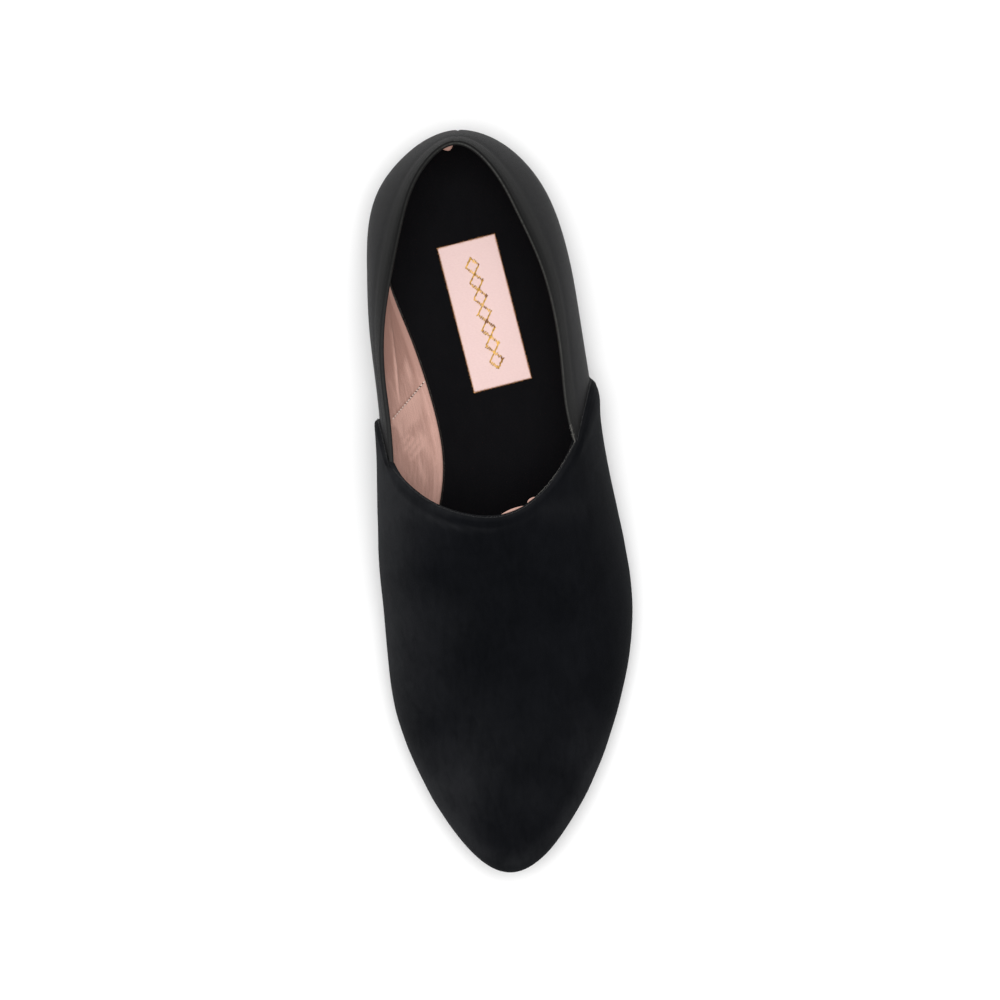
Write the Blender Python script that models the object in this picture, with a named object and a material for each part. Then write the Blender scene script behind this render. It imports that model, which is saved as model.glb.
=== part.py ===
"""Velvet babouche for the left foot: a leather outsole with a low heel, a lined upper with satin quarters,
a velvet vamp laid over it, a velvet insole and a woven label. In metres, +Z up, toe towards -Y."""

from collections import namedtuple

import bmesh
import bpy
import numpy as np

MM = 0.001

# Driving sizes in millimetres
LENGTH = 258.0  # heel to toe, over everything
BALL_WIDTH = 86.0  # over the velvet at the ball of the foot
INSTEP = 62.0  # the throat's middle over the floor
HEEL_BACK = 57.0  # the collar at the back of the heel, over the floor
WALL = 1.5  # satin and lining together
VELVET = 1.6  # the vamp's cloth with its backing
GAP = 0.3  # between pieces that touch

# Sole and insole in millimetres
SOLE_THICK = 3.9
HEEL_LIFT = 5.4
HEEL_BREAST = 64.0  # station of the heel's front face
BREAST_SLOPE = 0.8  # the heel's front face leans by this much
ARCH_START, ARCH_END = 85.0, 155.0  # stations between which the arch comes down to the tread
TREAD_END = 192.0  # station where the toe spring begins
TOE_SPRING = 7.5
SPRING_CURVE = 1.7
SOLE_MARGIN_HEEL, SOLE_MARGIN_FRONT = 2.4, 4.6  # the sole's edge outside the last's bottom edge
MARGIN_START, MARGIN_END = 52.0, 72.0
SOLE_EDGE_TRIM = 0.9  # the sole's lower edge lies this far inside its upper edge
INSOLE_THICK = 2.2
INSOLE_INSET = 0.7  # the insole's edge inside the last's bottom edge
INSOLE_SHOULDER = 1.2  # width of the rounding along the insole's upper edge
INSOLE_EDGE = 0.6  # share of the insole's thickness that stands upright at its edge

# The last
FEATHER_INSET = 4.0  # the last's bottom edge inside its widest line, at heel and toe
SIDE_CURVE = 1.7  # 1 is a straight flare from the bottom edge, more stands upright sooner
TOE_ROUND = 26.0  # the ridge comes down over this length at the toe
CROWN_LATERAL = (2.0, 2.0)  # powers of a section's curve: higher is squarer
CROWN_MEDIAL = (3.2, 2.2)

# Sections of the last. A station is in per cent of the length from the heel, widths are in per cent of the
# ball width from the long axis, heights in per cent of the instep. The feather line is the last's bottom
# edge, the swell is the height of its widest line above that edge.
Section = namedtuple(
    "Section", "station lateral medial feather_lateral feather_medial swell_lateral swell_medial"
)
SECTIONS = (
    Section(3.9, 20.6, 22.7, 12.8, 14.4, 22.6, 22.6),
    Section(8.9, 31.4, 34.0, 25.5, 28.6, 22.6, 22.6),
    Section(18.2, 39.2, 38.8, 34.9, 32.9, 22.6, 24.2),
    Section(26.4, 41.9, 39.5, 37.6, 26.0, 21.0, 29.0),
    Section(35.7, 44.3, 38.1, 39.8, 18.6, 20.2, 33.9),
    Section(45.0, 46.4, 38.4, 42.1, 15.6, 18.5, 33.9),
    Section(57.4, 51.5, 40.1, 47.1, 25.6, 16.1, 22.6),
    Section(66.7, 52.4, 39.4, 48.0, 33.7, 15.3, 16.1),
    Section(75.6, 47.0, 38.3, 43.0, 33.5, 14.5, 15.3),
    Section(84.9, 36.5, 30.7, 32.6, 26.4, 13.7, 14.5),
    Section(93.0, 22.2, 18.6, 18.1, 14.7, 12.9, 12.9),
)

# The ridge of the last: station in per cent of the length, height in per cent of the instep
Ridge = namedtuple("Ridge", "station height")
RIDGES = (
    Ridge(35.7, 106.0),
    Ridge(44.0, 106.0),
    Ridge(52.0, 100.0),
    Ridge(64.0, 78.2),
    Ridge(75.6, 60.5),
    Ridge(85.3, 50.0),
    Ridge(93.8, 45.2),
    Ridge(98.7, 43.5),
)

# The collar, from the back of the heel to the ears: widths in per cent of the ball width, heights in per
# cent of the heel back
Collar = namedtuple("Collar", "station lateral medial height")
COLLARS = (
    Collar(5.8, 12.1, 16.3, 98.0),
    Collar(11.6, 20.6, 24.1, 93.0),
    Collar(18.6, 28.5, 30.1, 86.8),
    Collar(25.6, 32.9, 34.8, 83.3),
    Collar(32.6, 34.5, 36.2, 83.0),
    Collar(38.8, 35.2, 35.3, 85.1),
)

# Points in millimetres: a station from the heel and an offset, lateral positive
COLLAR_HEEL = (5.6, -1.0)
EAR_LATERAL = (110.5, 32.0)  # the throat's corners, where the vamp's ears begin
EAR_MEDIAL = (114.6, -30.3)
THROAT_MIDDLE = (134.1, 0.8)
THROAT_CURVE = 2.3  # 2 is a parabola, more is squarer
EAR_SWELL_LATERAL, EAR_SWELL_MEDIAL = 90.0, 98.0  # stations where the ears cross the widest line
EAR_FOOT_LATERAL, EAR_FOOT_MEDIAL = 86.0, 95.0  # stations where the ears reach the sole

# The label, in millimetres
LABEL_MIDDLE = (64.0, 4.7)
LABEL_WIDTH, LABEL_LENGTH, LABEL_THICK = 20.4, 51.5, 0.4
LABEL_TURN = np.radians(10.3)

# Finishes: a plain colour and a roughness for each part
Finish = namedtuple("Finish", "colour roughness")
SOLE_LEATHER = Finish((0.035, 0.026, 0.022), 0.55)
SATIN = Finish((0.025, 0.025, 0.027), 0.6)
VAMP_VELVET = Finish((0.008, 0.009, 0.012), 0.9)
INSOLE_VELVET = Finish((0.006, 0.006, 0.007), 0.95)
WOVEN_TAPE = Finish((0.95, 0.72, 0.68), 0.6)
SHARP_ANGLE = np.radians(40)  # edges that turn by more than this stay sharp

# How finely the forms are divided
QUARTER_RIBS, VAMP_RIBS = 17, 22  # ribs from the heel to an ear, and from an ear to the toe
RIB_CROWDING = 1.4  # 1 spreads the ribs evenly, more crowds them at the heel and the toe
LOW_ROWS, HIGH_ROWS = 4, 10  # rows below and above the widest line
SOLE_SECTIONS = 38
LABEL_ROWS, LABEL_COLUMNS = 10, 4
QUARTER_BLEND = (0.5, 0.9)  # shares of the way to an ear where the quarter turns into the last's surface
SOFTENING = 4  # rounds of evening out the outward directions
FINE = 2001  # points in a curve before it is divided
LAP = 4  # rows that a closed curve repeats beyond its ends
WELD = 0.01  # points closer than this, in millimetres, become one

RIB_COUNTS = (QUARTER_RIBS, VAMP_RIBS, VAMP_RIBS, QUARTER_RIBS)


# Curves

def spline(knots, values, at):
    """A natural cubic spline through rows of values, read at the places given."""
    knots = np.asarray(knots, float)
    values = np.asarray(values, float)
    steps = np.diff(knots)
    rises = (np.diff(values, axis=0).T / steps).T
    system = np.zeros((len(knots), len(knots)))
    target = np.zeros_like(values)
    system[0, :2] = 2, 1
    system[-1, -2:] = 1, 2
    target[0] = 3 * rises[0]
    target[-1] = 3 * rises[-1]
    for i in range(1, len(knots) - 1):
        before, after = steps[i - 1], steps[i]
        system[i, i - 1 : i + 2] = after, 2 * (before + after), before
        target[i] = 3 * (after * rises[i - 1] + before * rises[i])
    slopes = np.linalg.solve(system, target)
    at = np.asarray(at, float)
    i = np.clip(np.searchsorted(knots, at) - 1, 0, len(steps) - 1)
    columns = at.shape + (1,) * (values.ndim - 1)
    step = steps[i].reshape(columns)
    t = (at - knots[i]).reshape(columns) / step
    ends = values[i] * (1 + 2 * t) * (1 - t) ** 2 + values[i + 1] * t * t * (3 - 2 * t)
    return ends + step * (slopes[i] * t * (1 - t) ** 2 - slopes[i + 1] * t * t * (1 - t))


def ease(place, start, end):
    """0 before start, 1 after end, and a soft step between them."""
    t = np.clip((place - start) / (end - start), 0, 1)
    return t * t * (3 - 2 * t)


def lengths(line):
    """The length along a polyline at each of its points."""
    return np.concatenate([[0.0], np.cumsum(np.linalg.norm(np.diff(line, axis=0), axis=1))])


def smooth_line(points):
    """A smooth line through the points, as a fine polyline."""
    along = lengths(np.asarray(points, float))
    return spline(along, points, np.linspace(0, along[-1], FINE))


def smooth_loop(points):
    """A smooth closed line through the points, as a fine polyline that ends where it starts."""
    points = np.asarray(points, float)
    wrapped = np.vstack([points[-LAP:], points, points[: LAP + 1]])
    along = lengths(wrapped)
    return spline(along, wrapped, np.linspace(along[LAP], along[LAP + len(points)], FINE))


def moved_out(loop, distance):
    """A loop that runs heel, lateral side, toe, medial side, moved outwards by a distance at each point."""
    ahead = np.gradient(loop, axis=0)
    ahead[[0, -1]] = loop[1] - loop[-2]
    ahead /= np.linalg.norm(ahead, axis=1, keepdims=True)
    outward = np.stack([-ahead[:, 1], ahead[:, 0]], -1)
    return loop + outward * np.broadcast_to(distance, len(loop))[:, None]


def side_offsets(loop, station):
    """The lateral and the medial offset of a loop at a station."""
    toe = np.argmax(loop[:, 0])
    lateral, medial = loop[: toe + 1], loop[toe:][::-1]
    return np.interp(station, *lateral.T), np.interp(station, *medial.T)


def spread(loop, lateral_mark, toe_mark, medial_mark):
    """Points along a loop in four spans, parted at the lengths given, closer together at the heel and the toe."""
    along = lengths(loop)
    marks = (0.0, lateral_mark, toe_mark, medial_mark, along[-1])
    places = []
    for start, end, count, turns_early in zip(marks, marks[1:], RIB_COUNTS, (True, False, True, False)):
        share = np.arange(count) / count
        share = share**RIB_CROWDING if turns_early else 1 - (1 - share) ** RIB_CROWDING
        places.append(start + (end - start) * share)
    return np.stack([np.interp(np.concatenate(places), along, loop[:, i]) for i in (0, 1)], -1)


# Loops of the last, seen from above

def section_loop(lateral, medial, heel, toe):
    """The closed line through two named columns of the sections, between the stations of its heel and toe."""
    out = [(row.station * LENGTH / 100, getattr(row, lateral) * BALL_WIDTH / 100) for row in SECTIONS]
    back = [(row.station * LENGTH / 100, -getattr(row, medial) * BALL_WIDTH / 100) for row in SECTIONS]
    return smooth_loop([(heel, 0.0), *out, (toe, 0.0), *back[::-1]])


LAST_HEEL = WALL
LAST_TOE = LENGTH - WALL - GAP - VELVET
LAST_LOOP = section_loop("lateral", "medial", LAST_HEEL, LAST_TOE)
FEATHER_LOOP = section_loop(
    "feather_lateral", "feather_medial", LAST_HEEL + FEATHER_INSET, LAST_TOE - FEATHER_INSET
)


def mark_lengths(loop, lateral_station, medial_station):
    """Lengths along a loop at the lateral ear, the toe and the medial ear."""
    along = lengths(loop)
    toe = np.argmax(loop[:, 0])
    lateral = np.interp(lateral_station, loop[: toe + 1, 0], along[: toe + 1])
    medial = np.interp(-medial_station, -loop[toe:, 0], along[toe:])
    return lateral, along[toe], medial


def throat_line(ear):
    """The throat's edge from an ear to the middle."""
    share = np.linspace(1, 0, FINE)
    offset = THROAT_MIDDLE[1] + (ear[1] - THROAT_MIDDLE[1]) * share
    station = THROAT_MIDDLE[0] + (ear[0] - THROAT_MIDDLE[0]) * share**THROAT_CURVE
    return np.stack([station, offset], -1)


def collar_ribs():
    """The upper end of each rib: round the collar, and round the throat between the ears."""
    lateral = [(row.station * LENGTH / 100, row.lateral * BALL_WIDTH / 100) for row in COLLARS]
    medial = [(row.station * LENGTH / 100, -row.medial * BALL_WIDTH / 100) for row in COLLARS]
    rim = smooth_line([EAR_MEDIAL, *medial[::-1], COLLAR_HEEL, *lateral, EAR_LATERAL])
    heel = np.argmin(np.linalg.norm(rim - COLLAR_HEEL, axis=1))
    throat_out, throat_back = throat_line(EAR_LATERAL), throat_line(EAR_MEDIAL)[::-1]
    parts = (rim[heel:], throat_out[1:], throat_back[1:], rim[1 : heel + 1])
    along = lengths(np.vstack(parts))
    ends = np.cumsum([len(part) for part in parts]) - 1
    return spread(np.vstack(parts), *along[ends[:3]])


# Heights of the last over the floor

def feather_height(station):
    """The last's bottom edge: raised over the heel, down at the tread, up again towards the toe."""
    lift = HEEL_LIFT * (1 - ease(station, ARCH_START, ARCH_END))
    ahead = np.clip((station - TREAD_END) / (LAST_TOE - TREAD_END), 0, None)
    return SOLE_THICK + GAP + lift + TOE_SPRING * ahead**SPRING_CURVE


def swell_height(station, lateral):
    """The last's widest line."""
    places = [row.station * LENGTH / 100 for row in SECTIONS]
    rises = [
        np.interp(station, places, [getattr(row, side) * INSTEP / 100 for row in SECTIONS])
        for side in ("swell_lateral", "swell_medial")
    ]
    return feather_height(station) + np.where(lateral, *rises)


def ridge_height(station):
    rows = [(row.station * LENGTH / 100, row.height * INSTEP / 100) for row in RIDGES]
    return spline(*np.transpose(rows), station)


def last_height(station, offset):
    """The last's upper surface, from its widest line up to its ridge."""
    lateral = offset > 0
    share = np.clip(offset / np.where(lateral, *side_offsets(LAST_LOOP, station)), 0, 1)
    square, bow = (np.where(lateral, *pair) for pair in zip(CROWN_LATERAL, CROWN_MEDIAL))
    crown = (1 - share**square) ** (1 / bow)
    ahead = np.clip(1 - (LAST_TOE - station) / TOE_ROUND, 0, 1)
    low = swell_height(station, lateral)
    return low + (ridge_height(station) - low) * np.sqrt(1 - ahead**2) * crown


def collar_height(station):
    rows = [(row.station * LENGTH / 100, row.height * HEEL_BACK / 100) for row in COLLARS]
    return spline(*np.transpose([(COLLAR_HEEL[0], HEEL_BACK), *rows]), station)


# The upper's own function: a grid of ribs by rows on the last, and its outward directions

def last_grid():
    feather = spread(FEATHER_LOOP, *mark_lengths(FEATHER_LOOP, EAR_FOOT_LATERAL, EAR_FOOT_MEDIAL))
    swell = spread(LAST_LOOP, *mark_lengths(LAST_LOOP, EAR_SWELL_LATERAL, EAR_SWELL_MEDIAL))
    collar = collar_ribs()
    feather_z = feather_height(feather[:, 0])
    swell_z = swell_height(swell[:, 0], swell[:, 1] > 0)
    collar_z = collar_height(collar[:, 0])

    rise = np.linspace(0, 1, LOW_ROWS, endpoint=False)
    flare = 1 - (1 - rise) ** SIDE_CURVE
    low = feather[:, None] + (swell - feather)[:, None] * flare[None, :, None]
    low_z = feather_z[:, None] + (swell_z - feather_z)[:, None] * rise

    climb = np.linspace(0, 1, HIGH_ROWS + 1)
    high = swell[:, None] + (collar - swell)[:, None] * (climb**2)[None, :, None]
    high_z = last_height(high[..., 0], high[..., 1])
    high_z = np.where(is_vamp()[:, None], high_z, quarter_heights(swell_z, collar_z, high_z, climb))

    plan = np.concatenate([low, high], axis=1)
    return np.concatenate([plan, np.concatenate([low_z, high_z], axis=1)[..., None]], axis=-1)


def is_vamp():
    """True on the ribs that the vamp covers, both ears included."""
    rib = np.arange(sum(RIB_COUNTS))
    return (rib >= QUARTER_RIBS) & (rib <= QUARTER_RIBS + 2 * VAMP_RIBS)


def quarter_heights(swell_z, collar_z, last_z, climb):
    """Heights up the quarters' ribs: an even climb to the collar, which turns into the last's own surface
    before the ears."""
    rib = np.arange(len(swell_z))
    from_heel = np.minimum(rib, len(swell_z) - rib) / QUARTER_RIBS
    share = ease(from_heel, *QUARTER_BLEND)[:, None]
    even = swell_z[:, None] + (collar_z - swell_z)[:, None] * climb
    return (1 - share) * even + share * last_z


def outward_directions(grid):
    """The outward direction at each point, as the mean over the faces that meet there, evened out a little."""
    ahead = np.roll(grid, -1, axis=0)
    faces = np.cross(grid[:, 1:] - ahead[:, :-1], ahead[:, 1:] - grid[:, :-1])
    faces /= np.linalg.norm(faces, axis=-1, keepdims=True)
    faces = faces + np.roll(faces, 1, axis=0)
    outward = np.zeros_like(grid)
    outward[:, :-1] += faces
    outward[:, 1:] += faces
    for _ in range(SOFTENING):
        rows = np.pad(outward, ((0, 0), (1, 1), (0, 0)), mode="edge")
        outward = 2 * outward + np.roll(outward, 1, axis=0) + np.roll(outward, -1, axis=0)
        outward += rows[:, :-2] + rows[:, 2:]
        outward /= np.linalg.norm(outward, axis=-1, keepdims=True)
    return outward


def layer(grid, outward, distance):
    """The grid moved outwards by a distance. Below the widest line it moves along the sole, and so stands on it."""
    moved = grid + outward * distance
    low = slice(0, LOW_ROWS)
    level = outward[:, low, :2]
    steep = np.sum(level**2, axis=-1, keepdims=True)
    moved[:, low, :2] = grid[:, low, :2] + level * distance / steep
    moved[:, low, 2] = grid[:, low, 2] + feather_height(moved[:, low, 0]) - feather_height(grid[:, low, 0])
    return moved


# Meshes

def to_frame(points):
    """Stations, offsets and heights in millimetres, as X, Y and Z in metres."""
    station, offset, height = np.moveaxis(np.asarray(points, float), -1, 0)
    return np.stack([offset, LENGTH / 2 - station, height], -1) * MM


def add_part(name, mesh, finish):
    material = bpy.data.materials.new(name)
    material.use_nodes = True
    shader = material.node_tree.nodes["Principled BSDF"]
    shader.inputs["Base Color"].default_value = (*finish.colour, 1.0)
    shader.inputs["Roughness"].default_value = finish.roughness
    material.diffuse_color = (*finish.colour, 1.0)
    mesh.materials.append(material)
    mesh.shade_smooth()
    mesh.set_sharp_from_angle(angle=SHARP_ANGLE)
    part = bpy.data.objects.new(name, mesh)
    parts.objects.link(part)
    part.parent = root


def mesh_from(name, shape):
    bmesh.ops.recalc_face_normals(shape, faces=shape.faces)
    mesh = bpy.data.meshes.new(name)
    shape.to_mesh(mesh)
    shape.free()
    return mesh


def shell_mesh(name, inner, outer, closed):
    """A wall between two grids of ribs by rows. A closed one runs all the way round."""
    shape = bmesh.new()
    skins = [
        [[shape.verts.new(point) for point in rib] for rib in to_frame(grid)] for grid in (inner, outer)
    ]
    ribs, rows = inner.shape[:2]
    spans = [(i, (i + 1) % ribs) for i in range(ribs if closed else ribs - 1)]
    for a, b in spans:
        for row in range(rows - 1):
            for skin, turn in zip(skins, (-1, 1)):
                corners = (skin[a][row], skin[b][row], skin[b][row + 1], skin[a][row + 1])
                shape.faces.new((corners[0], *corners[1:][::turn]))
        for row in (0, rows - 1):
            shape.faces.new((skins[0][a][row], skins[0][b][row], skins[1][b][row], skins[1][a][row]))
    if not closed:
        for rib in (0, ribs - 1):
            for row in range(rows - 1):
                inside, outside = (skin[rib] for skin in skins)
                shape.faces.new((inside[row], outside[row], outside[row + 1], inside[row + 1]))
    return mesh_from(name, shape)


def loft_mesh(name, sections):
    """A closed body through rings of points. A first or last ring with no width closes it."""
    shape = bmesh.new()
    rings = [[shape.verts.new(point) for point in ring] for ring in to_frame(sections)]
    for here, ahead in zip(rings, rings[1:]):
        for i in range(len(here)):
            j = (i + 1) % len(here)
            shape.faces.new((here[i], here[j], ahead[j], ahead[i]))
    bmesh.ops.remove_doubles(shape, verts=shape.verts, dist=WELD * MM)
    return mesh_from(name, shape)


# Parts

def make_outsole():
    margin = SOLE_MARGIN_HEEL + (SOLE_MARGIN_FRONT - SOLE_MARGIN_HEEL) * ease(
        FEATHER_LOOP[:, 0], MARGIN_START, MARGIN_END
    )
    edge = moved_out(FEATHER_LOOP, margin)
    stations = section_stations(edge, extra=(HEEL_BREAST, HEEL_BREAST + BREAST_SLOPE))
    lateral, medial = side_offsets(edge, stations)
    top = feather_height(stations) - GAP
    bottom = np.where(stations <= HEEL_BREAST, 0.0, top - SOLE_THICK)
    middle = (top + bottom) / 2
    trim = np.minimum(SOLE_EDGE_TRIM, (lateral - medial) / 2)
    ring = [
        (lateral, top),
        (lateral, middle),
        (lateral - trim, bottom),
        (medial + trim, bottom),
        (medial, middle),
        (medial, top),
    ]
    add_part("outsole", loft_mesh("outsole", rings_of(stations, ring)), SOLE_LEATHER)


def section_stations(loop, extra=()):
    """Stations from end to end of a loop, closer together at its heel and toe."""
    turn = np.linspace(0, np.pi, SOLE_SECTIONS)
    heel, toe = loop[:, 0].min(), loop[:, 0].max()
    return np.sort(np.concatenate([heel + (toe - heel) * (1 - np.cos(turn)) / 2, extra]))


def rings_of(stations, ring):
    """A ring of points at each station from pairs of offsets and heights. The end rings have no width."""
    rings = np.stack([np.stack([stations, *pair], -1) for pair in ring], axis=1)
    for end in (0, -1):
        rings[end, :, 1] = rings[end, :, 1].mean()
    return rings


def insole_top(station):
    return feather_height(station) + INSOLE_THICK


def make_insole():
    edge = moved_out(FEATHER_LOOP, -INSOLE_INSET)
    stations = section_stations(edge)
    lateral, medial = side_offsets(edge, stations)
    middle = (lateral + medial) / 2
    shoulder = np.minimum(INSOLE_SHOULDER, (lateral - medial) / 4)
    low = feather_height(stations)
    high = insole_top(stations)
    ring = [
        (lateral, low),
        (lateral, low + INSOLE_THICK * INSOLE_EDGE),
        (lateral - shoulder, high),
        (middle, high),
        (medial + shoulder, high),
        (medial, low + INSOLE_THICK * INSOLE_EDGE),
        (medial, low),
        (middle, low),
    ]
    add_part("insole", loft_mesh("insole", rings_of(stations, ring)), INSOLE_VELVET)


def make_upper(grid, outward):
    add_part("upper", shell_mesh("upper", grid, layer(grid, outward, WALL), closed=True), SATIN)


def make_vamp(grid, outward):
    inner = layer(grid, outward, WALL + GAP)[is_vamp()]
    outer = layer(grid, outward, WALL + GAP + VELVET)[is_vamp()]
    add_part("vamp", shell_mesh("vamp", inner, outer, closed=False), VAMP_VELVET)


def make_label():
    along, across = np.meshgrid(
        np.linspace(-0.5, 0.5, LABEL_ROWS) * LABEL_LENGTH,
        np.linspace(-0.5, 0.5, LABEL_COLUMNS) * LABEL_WIDTH,
        indexing="ij",
    )
    station = LABEL_MIDDLE[0] + along * np.cos(LABEL_TURN) - across * np.sin(LABEL_TURN)
    offset = LABEL_MIDDLE[1] + along * np.sin(LABEL_TURN) + across * np.cos(LABEL_TURN)
    under = np.stack([station, offset, insole_top(station) + GAP], -1)
    over = under + (0.0, 0.0, LABEL_THICK)
    add_part("label", shell_mesh("label", under, over, closed=False), WOVEN_TAPE)


def centre_on_origin():
    """Move the root so that the origin is below the middle of the whole shoe."""
    points = np.array([vertex.co for part in parts.objects for vertex in part.data.vertices])
    middle = (points.min(0) + points.max(0)) / 2
    root.location = (-middle[0], -middle[1], 0.0)


for old in list(bpy.data.objects):
    bpy.data.objects.remove(old)
parts = bpy.data.collections.new("velvet_babouche")
bpy.context.scene.collection.children.link(parts)
root = bpy.data.objects.new("babouche", None)
bpy.context.scene.collection.objects.link(root)

last = last_grid()
directions = outward_directions(last)
make_outsole()
make_upper(last, directions)
make_vamp(last, directions)
make_insole()
make_label()
centre_on_origin()
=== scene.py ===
# %% [markdown]
# # A velvet babouche
#
# This lesson dresses a packed shoe: five plain solids become a slipper with a velvet vamp, satin quarters,
# a leather lining, a velvet insole, a woven label and a leather sole. Every piece is worked out from the
# same few sizes as the solids, so it lies where they lie and only adds what cloth, leather and thread do.

# %% Load the frame
from collections import namedtuple

import bpy
import numpy as np
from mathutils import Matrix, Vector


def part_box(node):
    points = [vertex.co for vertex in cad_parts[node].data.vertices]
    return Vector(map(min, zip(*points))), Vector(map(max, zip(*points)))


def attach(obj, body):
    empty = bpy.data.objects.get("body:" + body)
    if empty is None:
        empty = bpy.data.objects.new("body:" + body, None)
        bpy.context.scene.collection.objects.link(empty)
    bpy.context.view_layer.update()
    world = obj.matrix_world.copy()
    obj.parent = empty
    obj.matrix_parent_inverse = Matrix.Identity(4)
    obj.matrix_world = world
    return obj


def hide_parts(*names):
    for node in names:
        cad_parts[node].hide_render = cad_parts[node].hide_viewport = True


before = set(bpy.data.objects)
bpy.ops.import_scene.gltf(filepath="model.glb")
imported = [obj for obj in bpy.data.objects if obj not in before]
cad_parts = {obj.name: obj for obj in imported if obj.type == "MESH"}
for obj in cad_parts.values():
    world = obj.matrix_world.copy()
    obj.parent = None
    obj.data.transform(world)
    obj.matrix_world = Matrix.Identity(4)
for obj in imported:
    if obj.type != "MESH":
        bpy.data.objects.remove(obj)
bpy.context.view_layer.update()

# %% [markdown]
# ## The shoe's sizes
#
# A shoemaker measures a last by its length, the width over the ball, the instep and the heel. Places on the
# shoe are a station, in millimetres from the heel along the foot, an offset from the long axis, with the
# outer side positive, and a height over the floor. The tables hold widths and heights in per cent of the
# main sizes, so one look shows the proportions.

# %% Sizes in millimetres
LENGTH = 258.0
BALL_WIDTH = 86.0
INSTEP = 62.0
HEEL_BACK = 57.0
WALL = 1.5
VELVET = 1.6
GAP = 0.3
SOLE_THICK = 3.9
HEEL_LIFT = 5.4
HEEL_BREAST = 64.0
ARCH_START, ARCH_END = 85.0, 155.0
TREAD_END = 192.0
TOE_SPRING = 7.5
SPRING_CURVE = 1.7
INSOLE_THICK = 2.2
INSOLE_INSET = 0.7
FEATHER_INSET = 4.0
SIDE_CURVE = 1.7
TOE_ROUND = 26.0
CROWN_LATERAL = (2.0, 2.0)
CROWN_MEDIAL = (3.2, 2.2)

Section = namedtuple(
    "Section", "station lateral medial feather_lateral feather_medial swell_lateral swell_medial"
)
SECTIONS = (
    Section(3.9, 20.6, 22.7, 12.8, 14.4, 22.6, 22.6),
    Section(8.9, 31.4, 34.0, 25.5, 28.6, 22.6, 22.6),
    Section(18.2, 39.2, 38.8, 34.9, 32.9, 22.6, 24.2),
    Section(26.4, 41.9, 39.5, 37.6, 26.0, 21.0, 29.0),
    Section(35.7, 44.3, 38.1, 39.8, 18.6, 20.2, 33.9),
    Section(45.0, 46.4, 38.4, 42.1, 15.6, 18.5, 33.9),
    Section(57.4, 51.5, 40.1, 47.1, 25.6, 16.1, 22.6),
    Section(66.7, 52.4, 39.4, 48.0, 33.7, 15.3, 16.1),
    Section(75.6, 47.0, 38.3, 43.0, 33.5, 14.5, 15.3),
    Section(84.9, 36.5, 30.7, 32.6, 26.4, 13.7, 14.5),
    Section(93.0, 22.2, 18.6, 18.1, 14.7, 12.9, 12.9),
)
Ridge = namedtuple("Ridge", "station height")
RIDGES = (
    Ridge(35.7, 106.0),
    Ridge(44.0, 106.0),
    Ridge(52.0, 100.0),
    Ridge(64.0, 78.2),
    Ridge(75.6, 60.5),
    Ridge(85.3, 50.0),
    Ridge(93.8, 45.2),
    Ridge(98.7, 43.5),
)
Collar = namedtuple("Collar", "station lateral medial height")
COLLARS = (
    Collar(5.8, 12.1, 16.3, 98.0),
    Collar(11.6, 20.6, 24.1, 93.0),
    Collar(18.6, 28.5, 30.1, 86.8),
    Collar(25.6, 32.9, 34.8, 83.3),
    Collar(32.6, 34.5, 36.2, 83.0),
    Collar(38.8, 35.2, 35.3, 85.1),
)
COLLAR_HEEL = (5.6, -1.0)
EAR_LATERAL, EAR_MEDIAL = (110.5, 32.0), (114.6, -30.3)
THROAT_MIDDLE = (134.1, 0.8)
THROAT_CURVE = 2.3
EAR_SWELL_LATERAL, EAR_SWELL_MEDIAL = 90.0, 98.0
EAR_FOOT_LATERAL, EAR_FOOT_MEDIAL = 86.0, 95.0
LABEL_MIDDLE = (64.0, 4.7)
LABEL_WIDTH, LABEL_LENGTH, LABEL_THICK = 20.4, 51.5, 0.4
LABEL_TURN = np.radians(10.3)
QUARTER_RIBS, VAMP_RIBS = 17, 22
RIB_COUNTS = (QUARTER_RIBS, VAMP_RIBS, VAMP_RIBS, QUARTER_RIBS)
RIBS = sum(RIB_COUNTS)
RIB_CROWDING = 1.4
LOW_ROWS, HIGH_ROWS = 4, 10
ROWS = LOW_ROWS + HIGH_ROWS
QUARTER_BLEND = (0.5, 0.9)
SOFTENING = 4
FINE = 2001
LAP = 4

label_low, label_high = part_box("label")
label_centre = (label_low + label_high) / 2
SHIFT_X = label_centre.x * 1000 - LABEL_MIDDLE[1]
SHIFT_Y = label_centre.y * 1000 - (LENGTH / 2 - LABEL_MIDDLE[0])
print(f"the shoe's long axis lies at x = {SHIFT_X:.2f} mm, its middle at y = {SHIFT_Y:.2f} mm")

# %% [markdown]
# ## Curves and loops
#
# The last is drawn as three closed lines seen from above: the feather line round its bottom edge, the swell
# line where it is widest, and the line of the collar and throat. Natural splines run through the tables, as
# a flexible batten runs through pins on a drawing board.

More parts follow.
